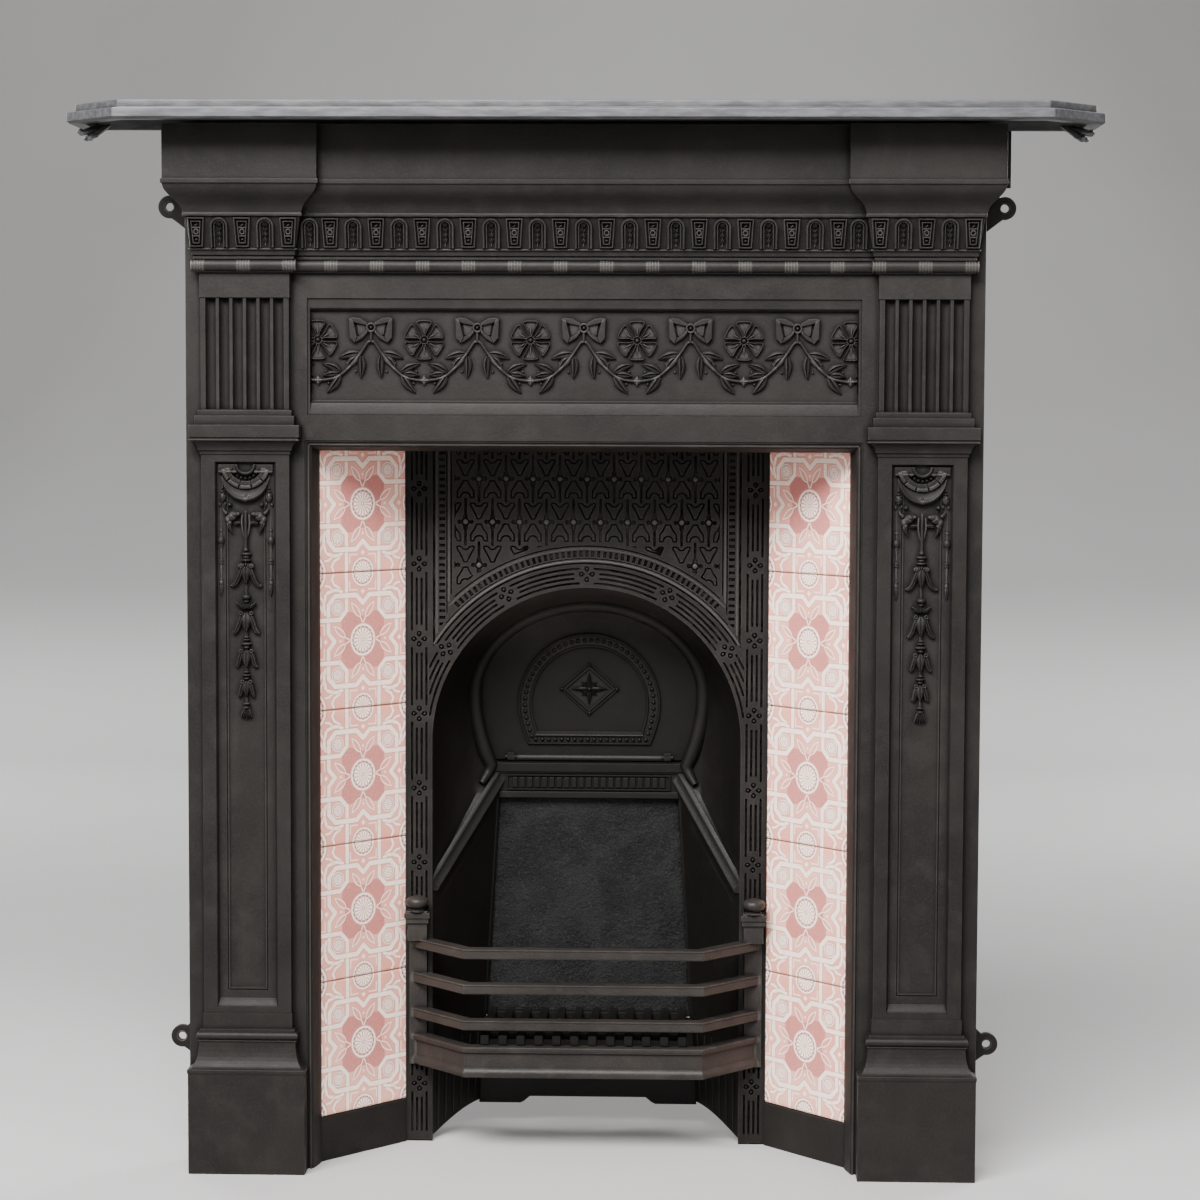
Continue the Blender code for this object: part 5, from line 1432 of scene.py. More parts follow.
def petal_hole(x, z, angle):
    """Drop-shaped hole of a quatrefoil, its point towards the centre."""
    points = []
    for k in range(12):
        turn = 2 * math.pi * k / 12
        radius = 3.0 * mm
        px = 6.1 * mm + radius * math.cos(turn)
        pz = radius * math.sin(turn) * 0.95
        if k == 6:
            px -= 0.9 * mm
        points.append((x + px * math.cos(angle) - pz * math.sin(angle), z + px * math.sin(angle) + pz * math.cos(angle)))
    return points


def quatrefoil(x, z, tilt=0.0):
    """Four drop holes and the beads in them."""
    holes = []
    beads = []
    for k in range(4):
        angle = tilt + k * math.pi / 2
        holes.append(petal_hole(x, z, angle))
        beads.append((x + 6.2 * mm * math.cos(angle), z + 6.2 * mm * math.sin(angle)))
    return holes, beads


def plate_holes():
    holes, bosses = diaper_motifs()
    beads = []
    strip = 0.1910
    breaks = [0.7531 - 0.0857 * k for k in range(9)]
    for side in (-1, 1):
        for z in breaks:
            found, spots = quatrefoil(side * strip, z)
            holes += found
            beads += spots
        for index in range(4):
            x = side * (strip + (index - 1.5) * 0.0055)
            gap = 0.0092 if index in (0, 3) else 0.0158
            tops = [0.806] + [z - gap for z in breaks]
            feet = [z + gap for z in breaks] + [0.012]
            for top, foot in zip(tops, feet):
                if top - foot > 0.008:
                    holes.append(slot(x, 2.5 * mm, foot, top))
        for x, width, foot in ((0.1740, 2.6, 0.5745), (0.1594, 1.2, 0.6115), (0.1545, 1.4, 0.6330)):
            half = width * mm / 2
            holes.append([(side * (x - half), foot + 0.001), (side * (x + half), foot - 0.001),
                          (side * (x + half), 0.806), (side * (x - half), 0.806)])
        z = 0.8030
        while z > 0.598:
            gap = outside_circle([(side * 0.1611, z - 0.0033), (side * 0.1682, z - 0.0033), (side * 0.1682, z),
                                  (side * 0.1611, z)], 0.2118)
            if big_enough(gap):
                holes.append(gap)
            z -= 0.0075
    turns = (0.0, -28.6, 28.6, -56.9, 56.9)
    for turn in turns:
        x, z = arc_points(0.1915, turn, turn, 0)[0]
        found, spots = quatrefoil(x, z, -math.radians(turn))
        holes += found
        beads += spots
    for index, radius in enumerate((0.1812, 0.1868, 0.1922, 0.1978)):
        gap = math.degrees((0.0088 if index in (0, 3) else 0.0150) / radius)
        stop = math.degrees(math.asin(min(1.0, 0.1788 / radius)))
        for side in (-1, 1):
            edges = [0.0 + gap, 28.6 - gap, 28.6 + gap, 56.9 - gap, 56.9 + gap, stop]
            for start, end in zip(edges[::2], edges[1::2]):
                if end - start > 1.5:
                    first, last = sorted((side * start, side * end))
                    holes.append(arc_slot(radius, 2.5 * mm, first, last))
    holes.append(arc_slot(0.2040, 2.0 * mm, -57.0, 57.0, False))
    holes.append(arc_slot(0.2093, 1.0 * mm, -50.0, 50.0, False))
    holes.append(arc_slot(0.2236, 1.3 * mm, -42.6, 42.6, False))
    count = 49
    for k in range(count):
        turn = -43.4 + 86.8 * k / (count - 1)
        share = math.degrees(0.0017 / 0.2146)
        holes.append(arc_points(0.2184, turn - share, turn + share, 1)
                     + arc_points(0.2112, turn + share, turn - share, 1))
    return holes, beads, bosses


def plate_outline(inset):
    side = plate_half + 0.0002
    radius = arch_radius + inset
    jamb = [(-side, 0.002), (-side, 0.8122), (side, 0.8122), (side, 0.002), (radius, 0.002), (radius, arch_centre)]
    return jamb + arc_points(radius, 87.5, -87.5, 70) + [(-radius, arch_centre), (-radius, 0.002)]


def arch_plate():
    holes, beads, bosses = plate_holes()
    shapes = [filled(plate_outline(0.0), holes, plate_depth, plate_depth + recess + 0.0002, 0.28 * mm)]
    shapes.append(filled(plate_outline(0.0), [], plate_depth + recess, plate_depth + plate_thickness, 0.4 * mm))
    for x, z in beads:
        shapes.append(ball(x, plate_depth + recess - 0.0002, z, 1.9 * mm, recess + 0.0002, 1.9 * mm, 10, 5))
    for x, z in bosses:
        shapes.append(ball(x, plate_depth + 0.0004, z, 2.7 * mm, 0.9 * mm, 2.7 * mm, 12, 5))
    bead = arc_points(0.2066, -57.6, 57.6, 60)
    shapes.append(tube([(x, plate_depth + 0.0006, z) for x, z in bead], 1.05 * mm, 8))
    fillet_line = arc_points(0.2205, -45.4, 45.4, 50)
    shapes.append(tube([(x, plate_depth + 0.0005, z) for x, z in fillet_line], 0.7 * mm, 6))
    for side in (-1, 1):
        for x, foot, radius in ((0.1706, 0.588, 0.0009), (0.1570, 0.625, 0.0007)):
            shapes.append(tube([(side * x, plate_depth + 0.0005, foot), (side * x, plate_depth + 0.0005, 0.806)],
                               radius, 6))
    return shapes


def build_insert():
    half = opening_half - fit_gap
    seat = frieze_plane + iron + fit_gap
    lip = splay_point(tile_cover, -0.0015)
    edge = splay_point(tile_size - tile_cover, -0.0015)
    front = [(half, frieze_plane), (half - 0.0014, frieze_plane), (half - 0.0022, frieze_plane + 0.0022),
             (half - 0.0034, frieze_plane + 0.0030), (half - 0.0078, frieze_plane + 0.0212),
             (half - 0.0080, frieze_plane + 0.023), lip, edge, (plate_half - 0.0004, plate_depth + 0.0004),
             (plate_half - 0.0008, plate_depth + recess)]
    end = tile_size + 0.0056
    back = [(half, seat), (opening_half + 0.008, seat), splay_point(-0.0056, 0.0146), splay_point(end, 0.0146),
            splay_point(end, -0.0006), (splay_point(end, -0.0006)[0] - 0.0025, plate_depth + plate_thickness)]
    plan = both_sides(front) + both_sides(back)[::-1]
    body = make_object("insert_body", loft([[(x, y, z) for x, y in plan] for z in (0.0, tiles_top + 0.005)]), black_iron)
    pocket = [splay_point(-0.0006, 0.0096), splay_point(tile_size + 0.0006, 0.0096), splay_point(tile_size + 0.0006, -0.0006),
              splay_point(tile_cover + tile_run, -0.0006), splay_point(tile_cover + tile_run, -0.02),
              splay_point(tile_cover, -0.02), splay_point(tile_cover, -0.0006), splay_point(-0.0006, -0.0006)]
    pocket = loft([[(x, y, z) for x, y in pocket] for z in (tile_low - fit_gap, tiles_top)])
    clearance = box(-0.32, 0.32, 0.0, seat, opening_height - fit_gap, total_height)
    arch = [(arch_radius + 0.0002, -iron), (-arch_radius - 0.0002, -iron)] + [
        (x, z) for x, z in arc_points(arch_radius + 0.0002, -90, 90, 72)]
    arch = loft([[(x, y, z) for x, z in arch] for y in (plate_depth - iron, plate_depth + 0.012)])
    cut_away(body, [pocket, mirrored(pocket), clearance, arch])
    top = opening_height - fit_gap
    low = top - 0.008
    deep = frieze_plane + 0.023
    web = tiles_top + 0.005
    section = [(frieze_plane, top), (frieze_plane, top - 0.0014), (frieze_plane + 0.0022, top - 0.0022),
               (frieze_plane + 0.0030, top - 0.0034), (deep - 0.0018, low + 0.0002), (deep, low), (deep + 0.005, low),
               (deep + 0.005, top - 0.002), (seat + 0.005, top + 0.005), (seat + 0.005, web), (seat, web), (seat, top)]
    head = loft([[(x, y, z) for y, z in section] for x in (-half, half)])
    seat_plan = both_sides(back[1:])
    soffit = loft([[(x, y, z) for x, y in seat_plan] for z in (tiles_top, tiles_top + 0.005)])
    rest = make_object("insert_rest", join(arch_plate() + [head, soffit]), black_iron, 40.0)
    unite([body, rest], "tiled_insert_detail")
    return settle(body, ["tiled_insert"])


build_insert()


# ---- Tiles ----

def tile_material():
    """Glazed tile with a traditional printed pattern of medallions, strapwork and leaves.

    The tile's map runs from 0 to 1 over its face; distances in the pattern are in millimetres from its centre.
    """
    material, tree, shader = node_material("glazed_tile")
    t = Tree(tree)
    place = t.node("ShaderNodeTexCoord").outputs["Object"]
    flat = t.node("ShaderNodeSeparateXYZ", {"Vector": t.node("ShaderNodeUVMap", uv_map="face").outputs["UV"]})
    wobble = t.noise(place, 55.0, 2.0, 0.5)
    stray = t.math("MULTIPLY", t.math("SUBTRACT", wobble, 0.5), 0.9)
    u = t.math("MULTIPLY", t.math("SUBTRACT", flat.outputs["X"], 0.5), 152.4)
    v = t.math("MULTIPLY", t.math("SUBTRACT", flat.outputs["Y"], 0.5), 152.4)
    a = t.math("ABSOLUTE", u)
    b = t.math("ABSOLUTE", v)
    p = t.math("MAXIMUM", a, b)
    q = t.math("MINIMUM", a, b)
    upright = t.math("GREATER_THAN", b, a)

    def length(x, y):
        return t.math("SQRT", t.math("ADD", t.math("MULTIPLY", x, x), t.math("MULTIPLY", y, y)))

    def below(value, limit, soft=0.35):
        """1 where the value is under the limit."""
        made = t.node("ShaderNodeMapRange", {"From Min": limit + soft, "From Max": limit - soft})
        made.clamp = True
        t.put(made.inputs["Value"], value)
        return made.outputs["Result"]

    def band(value, low, high, soft=0.3):
        return t.math("MULTIPLY", below(value, high, soft), t.math("SUBTRACT", 1.0, below(value, low, soft)))

    def either(*masks):
        total = masks[0]
        for mask in masks[1:]:
            total = t.math("MAXIMUM", total, mask)
        return total

    def segment(x, y, start, end):
        """Distance from a straight stroke."""
        dx, dy = end[0] - start[0], end[1] - start[1]
        square = dx * dx + dy * dy
        along = t.math("ADD", t.math("MULTIPLY", x, dx / square), t.math("MULTIPLY", y, dy / square))
        along = t.math("SUBTRACT", along, (start[0] * dx + start[1] * dy) / square, clamp=True)
        ox = t.math("SUBTRACT", t.math("SUBTRACT", x, start[0]), t.math("MULTIPLY", along, dx))
        oy = t.math("SUBTRACT", t.math("SUBTRACT", y, start[1]), t.math("MULTIPLY", along, dy))
        return length(ox, oy)

    def stroke(x, y, points):
        nearest = None
        for start, end in zip(points, points[1:]):
            here = segment(x, y, start, end)
            nearest = here if nearest is None else t.math("MINIMUM", nearest, here)
        return nearest

    def medallion(x, y, radius, petals):
        """Daisy in a dotted dark ring and a cream ring: masks of cream, of lines, of dark dots and of the disc."""
        r = length(x, y)
        turn = t.math("ARCTAN2", y, x)
        wave = t.math("COSINE", t.math("MULTIPLY", turn, float(petals)))
        dots = t.math("COSINE", t.math("MULTIPLY", turn, float(petals)))
        petal_edge = t.math("MULTIPLY", below(t.math("MULTIPLY", wave, radius * 0.5), -radius * 0.28, radius * 0.10),
                            band(r, radius * 0.16, radius * 0.72))
        daisy = band(r, radius * 0.13, radius * 0.73)
        cream = either(band(r, radius * 0.86, radius), t.math("MULTIPLY", daisy, t.math("SUBTRACT", 1.0, petal_edge)),
                       below(r, radius * 0.07))
        dark = t.math("MULTIPLY", band(r, radius * 0.745, radius * 0.86), t.ramp(dots, -0.7, 0.2))
        line = either(band(r, radius * 0.99, radius * 1.05), petal_edge, band(r, radius * 0.07, radius * 0.13))
        return cream, line, dark, below(r, radius * 1.05)

    strap_a = stroke(p, q, [(41.6, 0.0), (50.6, 9.6), (50.6, 41.0), (45.8, 45.8)])
    strap_b = stroke(p, q, [(90.0, 24.0), (34.0, 24.0), (29.0, 29.0)])
    fill_a, line_a = below(strap_a, 2.75), band(strap_a, 2.75, 3.5)
    fill_b, line_b = below(strap_b, 2.55), band(strap_b, 2.55, 3.3)
    a_over = t.math("MULTIPLY", upright, t.math("SUBTRACT", 1.0, below(strap_a, 3.4)))
    b_line = t.math("MULTIPLY", line_b, t.math("SUBTRACT", 1.0, t.math("MULTIPLY", upright, below(strap_a, 2.75))))
    b_line = t.math("MULTIPLY", b_line, t.math("SUBTRACT", 1.0, t.math("MULTIPLY", a_over, 0.0)))
    a_line = t.math("MULTIPLY", line_a, t.math("SUBTRACT", 1.0, t.math("MULTIPLY", t.math("SUBTRACT", 1.0, upright),
                                                                       below(strap_b, 2.55))))
    straps = either(fill_a, fill_b)

    r = length(u, v)
    turn = t.math("ARCTAN2", v, u)
    lobes = t.math("SUBTRACT", 33.5, t.math("MULTIPLY", t.math("COSINE", t.math("MULTIPLY", turn, 4.0)), 6.5))
    field = below(t.math("SUBTRACT", r, lobes), 0.0, 0.5)
    rays = t.math("SINE", t.math("ADD", t.math("MULTIPLY", turn, 44.0), t.math("MULTIPLY", r, 0.5)))
    rays = t.math("MULTIPLY", t.ramp(rays, 0.45, 0.95), t.math("MULTIPLY", field, t.ramp(wobble, 0.35, 0.6)))

    foot, tip = (25.2, 3.2), (43.4, 17.6)
    run = math.hypot(tip[0] - foot[0], tip[1] - foot[1])
    ux, uy = (tip[0] - foot[0]) / run, (tip[1] - foot[1]) / run
    px = t.math("SUBTRACT", p, foot[0])
    qy = t.math("SUBTRACT", q, foot[1])
    along = t.math("DIVIDE", t.math("ADD", t.math("MULTIPLY", px, ux), t.math("MULTIPLY", qy, uy)), run, clamp=True)
    aside = t.math("ABSOLUTE", t.math("SUBTRACT", t.math("MULTIPLY", qy, ux), t.math("MULTIPLY", px, uy)))
    belly = t.math("MULTIPLY", t.math("SINE", t.math("MULTIPLY", t.math("POWER", along, 0.85), math.pi)), 4.3)
    rim = t.math("SUBTRACT", aside, belly)
    on_leaf = t.math("MULTIPLY", t.math("GREATER_THAN", along, 0.001), t.math("LESS_THAN", along, 0.999))
    leaf_rim = t.math("MULTIPLY", band(rim, -1.5, 0.0), on_leaf)
    leaf_line = t.math("MULTIPLY", either(band(rim, 0.0, 0.7), t.math("MULTIPLY", below(rim, -1.5), below(aside, 0.4))),
                       on_leaf)
    stem = below(segment(p, q, (19.4, 0.6), (25.4, 3.4)), 0.7)
    pearls = either(below(length(t.math("SUBTRACT", p, 33.0), q), 1.3),
                    below(t.math("ADD", t.math("ABSOLUTE", t.math("SUBTRACT", p, 54.6)), q), 3.0))
    bract = stroke(p, q, [(55.0, 31.0), (57.4, 37.0), (57.0, 44.0), (54.6, 52.0)])
    curl = stroke(p, q, [(59.0, 34.0), (63.4, 42.0), (69.0, 45.5), (74.0, 43.0)])
    sprig = stroke(p, q, [(57.6, 44.0), (62.0, 50.0), (62.6, 55.0)])
    leaves = either(below(bract, 2.0, 0.5), below(curl, 1.6, 0.5), below(sprig, 1.4, 0.5))
    leaves_line = either(band(bract, 2.0, 2.9), band(curl, 1.6, 2.4), band(sprig, 1.4, 2.1))
    wedge = below(stroke(p, q, [(56.6, 8.4), (56.6, 19.0), (66.0, 19.4)]), 0.8)

    whole = medallion(u, v, 18.2, 16)
    edge = medallion(t.math("SUBTRACT", p, 76.2), q, 16.2, 16)
    corner = medallion(t.math("SUBTRACT", p, 76.2), t.math("SUBTRACT", q, 76.2), 22.0, 20)
    daisy = medallion(t.math("SUBTRACT", p, 37.4), t.math("SUBTRACT", q, 37.4), 8.6, 12)
    discs = either(*(group[3] for group in (whole, edge, corner, daisy)))
    outside = t.math("SUBTRACT", 1.0, discs)

    fade = t.noise(place, 9.0, 3.0, 0.6)
    grain = t.noise(place, 420.0, 3.0, 0.7)
    dots = t.node("ShaderNodeTexVoronoi", {"Vector": place, "Scale": 620.0}).outputs["Distance"]
    salmon = t.mix(t.ramp(fade, 0.35, 0.65), (0.740, 0.300, 0.235), (0.830, 0.400, 0.320))
    cream = t.mix(t.ramp(grain, 0.35, 0.7), (0.985, 0.830, 0.720), (0.950, 0.760, 0.650))
    rose = t.mix(t.ramp(grain, 0.3, 0.7), (0.470, 0.150, 0.130), (0.560, 0.205, 0.180))
    line_colour = (0.420, 0.165, 0.140)

    colour = salmon
    colour = t.mix(t.math("MULTIPLY", t.math("MULTIPLY", t.ramp(fade, 0.52, 0.72), below(q, 60.0, 6.0)),
                          t.math("MULTIPLY", t.math("SUBTRACT", 1.0, below(p, 52.0, 1.0)), 0.45)), colour,
                   (0.70, 0.43, 0.27))
    colour = t.mix(field, colour, rose)
    colour = t.mix(t.math("MULTIPLY", rays, 0.55), colour, line_colour)
    inner = t.math("MULTIPLY", below(p, 50.0), outside)
    colour = t.mix(t.math("MULTIPLY", t.math("MULTIPLY", either(leaf_rim, stem, pearls), outside), 0.95), colour, cream)
    colour = t.mix(t.math("MULTIPLY", t.math("MULTIPLY", leaf_line, inner), 0.7), colour, line_colour)
    outer = t.math("SUBTRACT", 1.0, below(p, 50.0))
    outer = t.math("MULTIPLY", outer, outside)
    colour = t.mix(t.math("MULTIPLY", leaves, outer), colour, cream)
    colour = t.mix(t.math("MULTIPLY", t.math("MULTIPLY", leaves_line, outer), 0.5), colour, line_colour)
    colour = t.mix(t.math("MULTIPLY", t.math("MULTIPLY", wedge, outer), 0.8), colour, cream)
    strapped = t.math("MULTIPLY", straps, t.math("SUBTRACT", 1.0, either(edge[3], corner[3], whole[3])))
    colour = t.mix(strapped, colour, cream)
    colour = t.mix(t.math("MULTIPLY", t.math("MULTIPLY", strapped, t.ramp(dots, 0.42, 0.30)), 0.28), colour,
                   line_colour)
    lines = t.math("MULTIPLY", either(a_line, b_line), t.math("SUBTRACT", 1.0, either(edge[3], corner[3], whole[3])))
    colour = t.mix(t.math("MULTIPLY", lines, 0.72), colour, line_colour)
    for group in (daisy, edge, corner, whole):
        colour = t.mix(group[3], colour, (0.640, 0.360, 0.315))
        colour = t.mix(group[0], colour, cream)
        colour = t.mix(t.math("MULTIPLY", group[1], 0.55), colour, line_colour)
        colour = t.mix(t.math("MULTIPLY", group[2], 0.85), colour, (0.240, 0.065, 0.060))

    side = t.math("SUBTRACT", 76.2, p)
    joint = below(t.math("ADD", side, stray), 0.55, 0.45)
    colour = t.mix(t.math("MULTIPLY", joint, 0.85), colour, (0.200, 0.105, 0.065))
    stain = t.math("MULTIPLY", below(side, 5.0, 4.0), t.ramp(fade, 0.48, 0.75))
    colour = t.mix(t.math("MULTIPLY", stain, 0.35), colour, (0.46, 0.27, 0.18))
    speck = t.noise(place, 150.0, 4.0, 0.7)
    colour = t.mix(t.math("MULTIPLY", t.ramp(speck, 0.60, 0.78), 0.22), colour, (0.88, 0.78, 0.70))
    crazing = t.node("ShaderNodeTexVoronoi", {"Vector": place, "Scale": 95.0}, feature="DISTANCE_TO_EDGE")
    craze = t.math("SUBTRACT", 1.0, t.ramp(crazing.outputs["Distance"], 0.0, 0.035))
    colour = t.mix(t.math("MULTIPLY", craze, 0.10), colour, (0.30, 0.17, 0.12))
    t.put(shader.inputs["Base Color"], colour)
    t.put(shader.inputs["Roughness"], t.math("ADD", 0.22, t.math("MULTIPLY", speck, 0.22)))
    shader.inputs["Coat Weight"].default_value = 0.20
    shader.inputs["Coat Roughness"].default_value = 0.12
    height = t.math("ADD", t.math("MULTIPLY", fade, 0.6), t.math("MULTIPLY", speck, 0.4))
    height = t.math("SUBTRACT", height, t.math("MULTIPLY", craze, 0.15))
    t.put(shader.inputs["Normal"], t.bump(height, 0.30, 0.0009))
    return material


glazed_tile = tile_material()


def build_tile(side, row):
    """Tile with softened edges and a face that is a hair from flat; its map lies over the face."""
    low = tile_low + row * (tile_size + 0.0004)
    steps = (0.0, 0.0005, 0.0014, 0.0030) + tuple(0.0030 + (tile_size - 0.0060) * k / 10 for k in range(1, 10))
    steps += (tile_size - 0.0030, tile_size - 0.0014, tile_size - 0.0005, tile_size)
    count = len(steps)

    def drop(run):
        edge = min(run, tile_size - run)
        return 0.0012 * max(0.0, 1 - edge / 0.0014) ** 2 + 0.0003 * max(0.0, 1 - edge / 0.0030)

    verts = []
    maps = []
    for z in steps:
        for run in steps:
            sag = 0.00035 * noise.noise(Vector((run * 16, z * 16 + row * 7.0, side * 3.0)))
            depth = max(0.0, min(0.0022, drop(run) + drop(z) + abs(sag)))
            x, y = splay_point(run, depth)
            verts.append((side * x, y, low + z))
            maps.append((run / tile_size, z / tile_size))
    faces = [(r * count + c, r * count + c + 1, (r + 1) * count + c + 1, (r + 1) * count + c)
             for r in range(count - 1) for c in range(count - 1)]
    rim = [c for c in range(count)] + [r * count + count - 1 for r in range(1, count)]
    rim += [(count - 1) * count + c for c in range(count - 2, -1, -1)] + [r * count for r in range(count - 2, 0, -1)]
    start = len(verts)
    for index in rim:
        run, z = maps[index][0] * tile_size, maps[index][1] * tile_size
        x, y = splay_point(run, 0.009)
        verts.append((side * x, y, low + z))
        maps.append(maps[index])
    size = len(rim)
    for k in range(size):
        faces.append((rim[k], rim[(k + 1) % size], start + (k + 1) % size, start + k))
    faces.append(tuple(range(start, start + size)))
    word = "left" if side < 0 else "right"
    tile = make_object(f"tile_{word}_{row + 1}_glazed", (verts, faces), glazed_tile, 45.0)
    layer = tile.data.uv_layers.new(name="face")
    along = ((plate_half - tile_outer[0]) / tile_run, (plate_depth - tile_outer[1]) / tile_run)
    for loop in tile.data.loops:
        point = tile.data.vertices[loop.vertex_index].co
        run = ((abs(point.x) - tile_outer[0]) * along[0] + (point.y - depth_shift - tile_outer[1]) * along[1]) + tile_cover
        layer.data[loop.index].uv = (run / tile_size, (point.z - low) / tile_size)
    return settle(tile, [f"tile_{word}_{row + 1}"])


for side in (-1, 1):
    for row in range(5):
        build_tile(side, row)


# ---- Hood and firebox casting ----

skirt_front, skirt_back = 0.006, 0.028
ledge_front, ledge_back = 0.300, 0.418
cheek_low, cheek_high = 0.126, 0.103
throat_foot, throat_foot_half = 0.430, 0.113
throat_middle, throat_half, throat_top = 0.512, 0.131, 0.613
hood_front = plate_depth + plate_thickness + fit_gap
hood_iron_thick = 0.005


def throat_jamb(foot, half, bottom, steps=8):
    points = []
    for step in range(steps + 1):
        share = step / steps
        points.append((foot + (half - foot) * (1 - (1 - share) ** 2), bottom + (throat_middle - bottom) * share))
    return points


def throat_arc(half, crown, steps=20):
    return [(half * math.cos(math.pi / 2 * k / steps),
             throat_middle + (crown - throat_middle) * math.sin(math.pi / 2 * k / steps)) for k in range(1, steps + 1)]


def full_arch(points):
    return points + [(-x, z) for x, z in reversed(points[:-1])]


def outward(points, thickness):
    moved = []
    for index, (x, z) in enumerate(points):
        before = points[max(index - 1, 0)]
        after = (-before[0], before[1]) if index + 1 == len(points) else points[index + 1]
        run = math.hypot(after[0] - before[0], after[1] - before[1])
        moved.append((x + (after[1] - before[1]) / run * thickness, z - (after[0] - before[0]) / run * thickness))
    return moved


def hood_shell():
    jamb = ledge_front + 0.006
    front = [(arch_radius, skirt_front), (arch_radius, ledge_front)]
    front += [(arch_radius, jamb + (arch_centre - jamb) * k / 8) for k in range(9)]
    front += [(arch_radius * math.cos(math.pi / 2 * k / 20), arch_centre + arch_radius * math.sin(math.pi / 2 * k / 20))
              for k in range(1, 21)]
    back = [(cheek_low, skirt_back), (cheek_high, ledge_back)]
    back += throat_jamb(throat_foot_half, throat_half, throat_foot) + throat_arc(throat_half, throat_top)
    rows = 16
    grid = []
    for row in range(rows + 1):
        share = row / rows
        swell = math.sin(math.pi * share) * 0.10
        flare = 0.06 * max(0.0, share - 0.72) / 0.28
        inner = []
        for index, ((x0, z0), (x1, z1)) in enumerate(zip(front, back)):
            blend = share if index < 2 else share - swell - flare * (1 - share) * 4
            z = z0 + (z1 - z0) * blend
            if index == 0:
                z = skirt_front + (skirt_back - skirt_front) * math.sin(math.pi / 2 * share)
            inner.append((x0 + (x1 - x0) * blend, z))
        y = hood_front + (hood_back - hood_front) * share
        grid.append([(x, y, z) for x, z in full_arch(inner) + full_arch(outward(inner, hood_iron_thick))[::-1]])
    return loft(grid)


def cheek_point(z, share):
    """Point on the cheek's face at a height, by its share of the depth."""
    back = cheek_low + (cheek_high - cheek_low) * (z - skirt_back) / (ledge_back - skirt_back)
    return arch_radius + (back - arch_radius) * share, hood_front + (hood_back - hood_front) * share


def ledge():
    """Sloping moulding on the cheek, hollow between a lower lip and an upper bead."""
    section = [(0.0025, -9.5), (-0.0050, -8.4), (-0.0068, -7.2), (-0.0072, -5.4), (-0.0064, -4.0), (-0.0046, -2.8),
               (-0.0030, -0.8), (-0.0020, 1.8), (-0.0018, 3.6), (-0.0026, 4.6), (-0.0022, 6.0), (-0.0010, 6.8),
               (0.0025, 7.2)]
    rings = []
    for step in range(7):
        share = step / 6
        x = arch_radius + (cheek_high - arch_radius) * share
        z = ledge_front + (ledge_back - ledge_front) * share
        y = hood_front + (hood_back - hood_front) * share
        rings.append([(x + dx, y, z + dz * mm) for dx, dz in section])
    return loft(rings)


def throat_rim():
    """Roll round the throat, whose feet splay out into the ledges."""
    path = [(throat_foot_half + 0.012, hood_back - 0.016, throat_foot - 0.024),
            (throat_foot_half + 0.005, hood_back - 0.009, throat_foot - 0.013),
            (throat_foot_half + 0.0012, hood_back - 0.0050, throat_foot - 0.004)]
    side = throat_jamb(throat_foot_half, throat_half, throat_foot)[1:] + throat_arc(throat_half, throat_top)
    path += [(x + 0.0036 * min(1.0, x / 0.03), hood_back - 0.0052, z + 0.0036 * (1 - min(1.0, x / 0.12))) for x, z in side]
    path += [(-x, y, z) for x, y, z in reversed(path[:-1])]
    radii = [0.0040, 0.0062, 0.0080] + [0.0092] * (len(path) - 6) + [0.0080, 0.0062, 0.0040]
    return tube(path, radii, 14)


flap_foot = 0.4315
flap_lean = math.radians(2.0)
flap_hinge = hood_back - 0.0036 + 0.006 + 0.0006 + (throat_top - flap_foot) * math.tan(flap_lean) + 0.005


def band():
    """Band above the brick: framed row of rounded pads over a plain rail, and the sill behind the flap's foot."""
    half = cheek_high + hood_iron_thick / 2
    y0 = hood_back - 0.0035
    top = ledge_back + 0.002
    shapes = [box(-half, half, y0 + 0.0005, y0 + 0.007, top - 0.032, top, 0.0006)]
    low, high = top - 0.0228, top - 0.0046
    outline = [(-0.0960, low), (0.0960, low), (0.0960, high), (-0.0960, high)]
    hole = offset(outline, 0.0016)
    shapes.append(filled(outline, [hole], y0 - 0.0020, y0 + 0.0015, 0.5 * mm))
    for k in range(21):
        x = (k - 10) * 0.00865
        shapes.append(shifted(emboss(fillet([(x - 0.0031, low + 0.0030), (x + 0.0031, low + 0.0030),
                                             (x + 0.0031, high - 0.0030), (x - 0.0031, high - 0.0030)], 0.0012, 2, True),
                                     2.6 * mm, 1.1 * mm), 0.0, y0 + 0.0005, 0.0))
    shapes.append(box(-half, half, y0 - 0.0012, y0 + 0.004, top - 0.032, top - 0.0245, 0.0010))
    shapes.append(box(-half, half, y0 - 0.0012, y0 + 0.004, top - 0.0030, top, 0.0008))
    wide = half + 0.005
    shapes.append(box(-wide, wide, y0 - 0.0030, hood_back + 0.020, top - 0.001, throat_foot - 0.0008, 0.0008))
    shapes.append(box(-wide, wide, flap_hinge + 0.0022, flap_hinge + 0.0058, top, flap_foot + 0.0012, 0.0006))
    return shapes


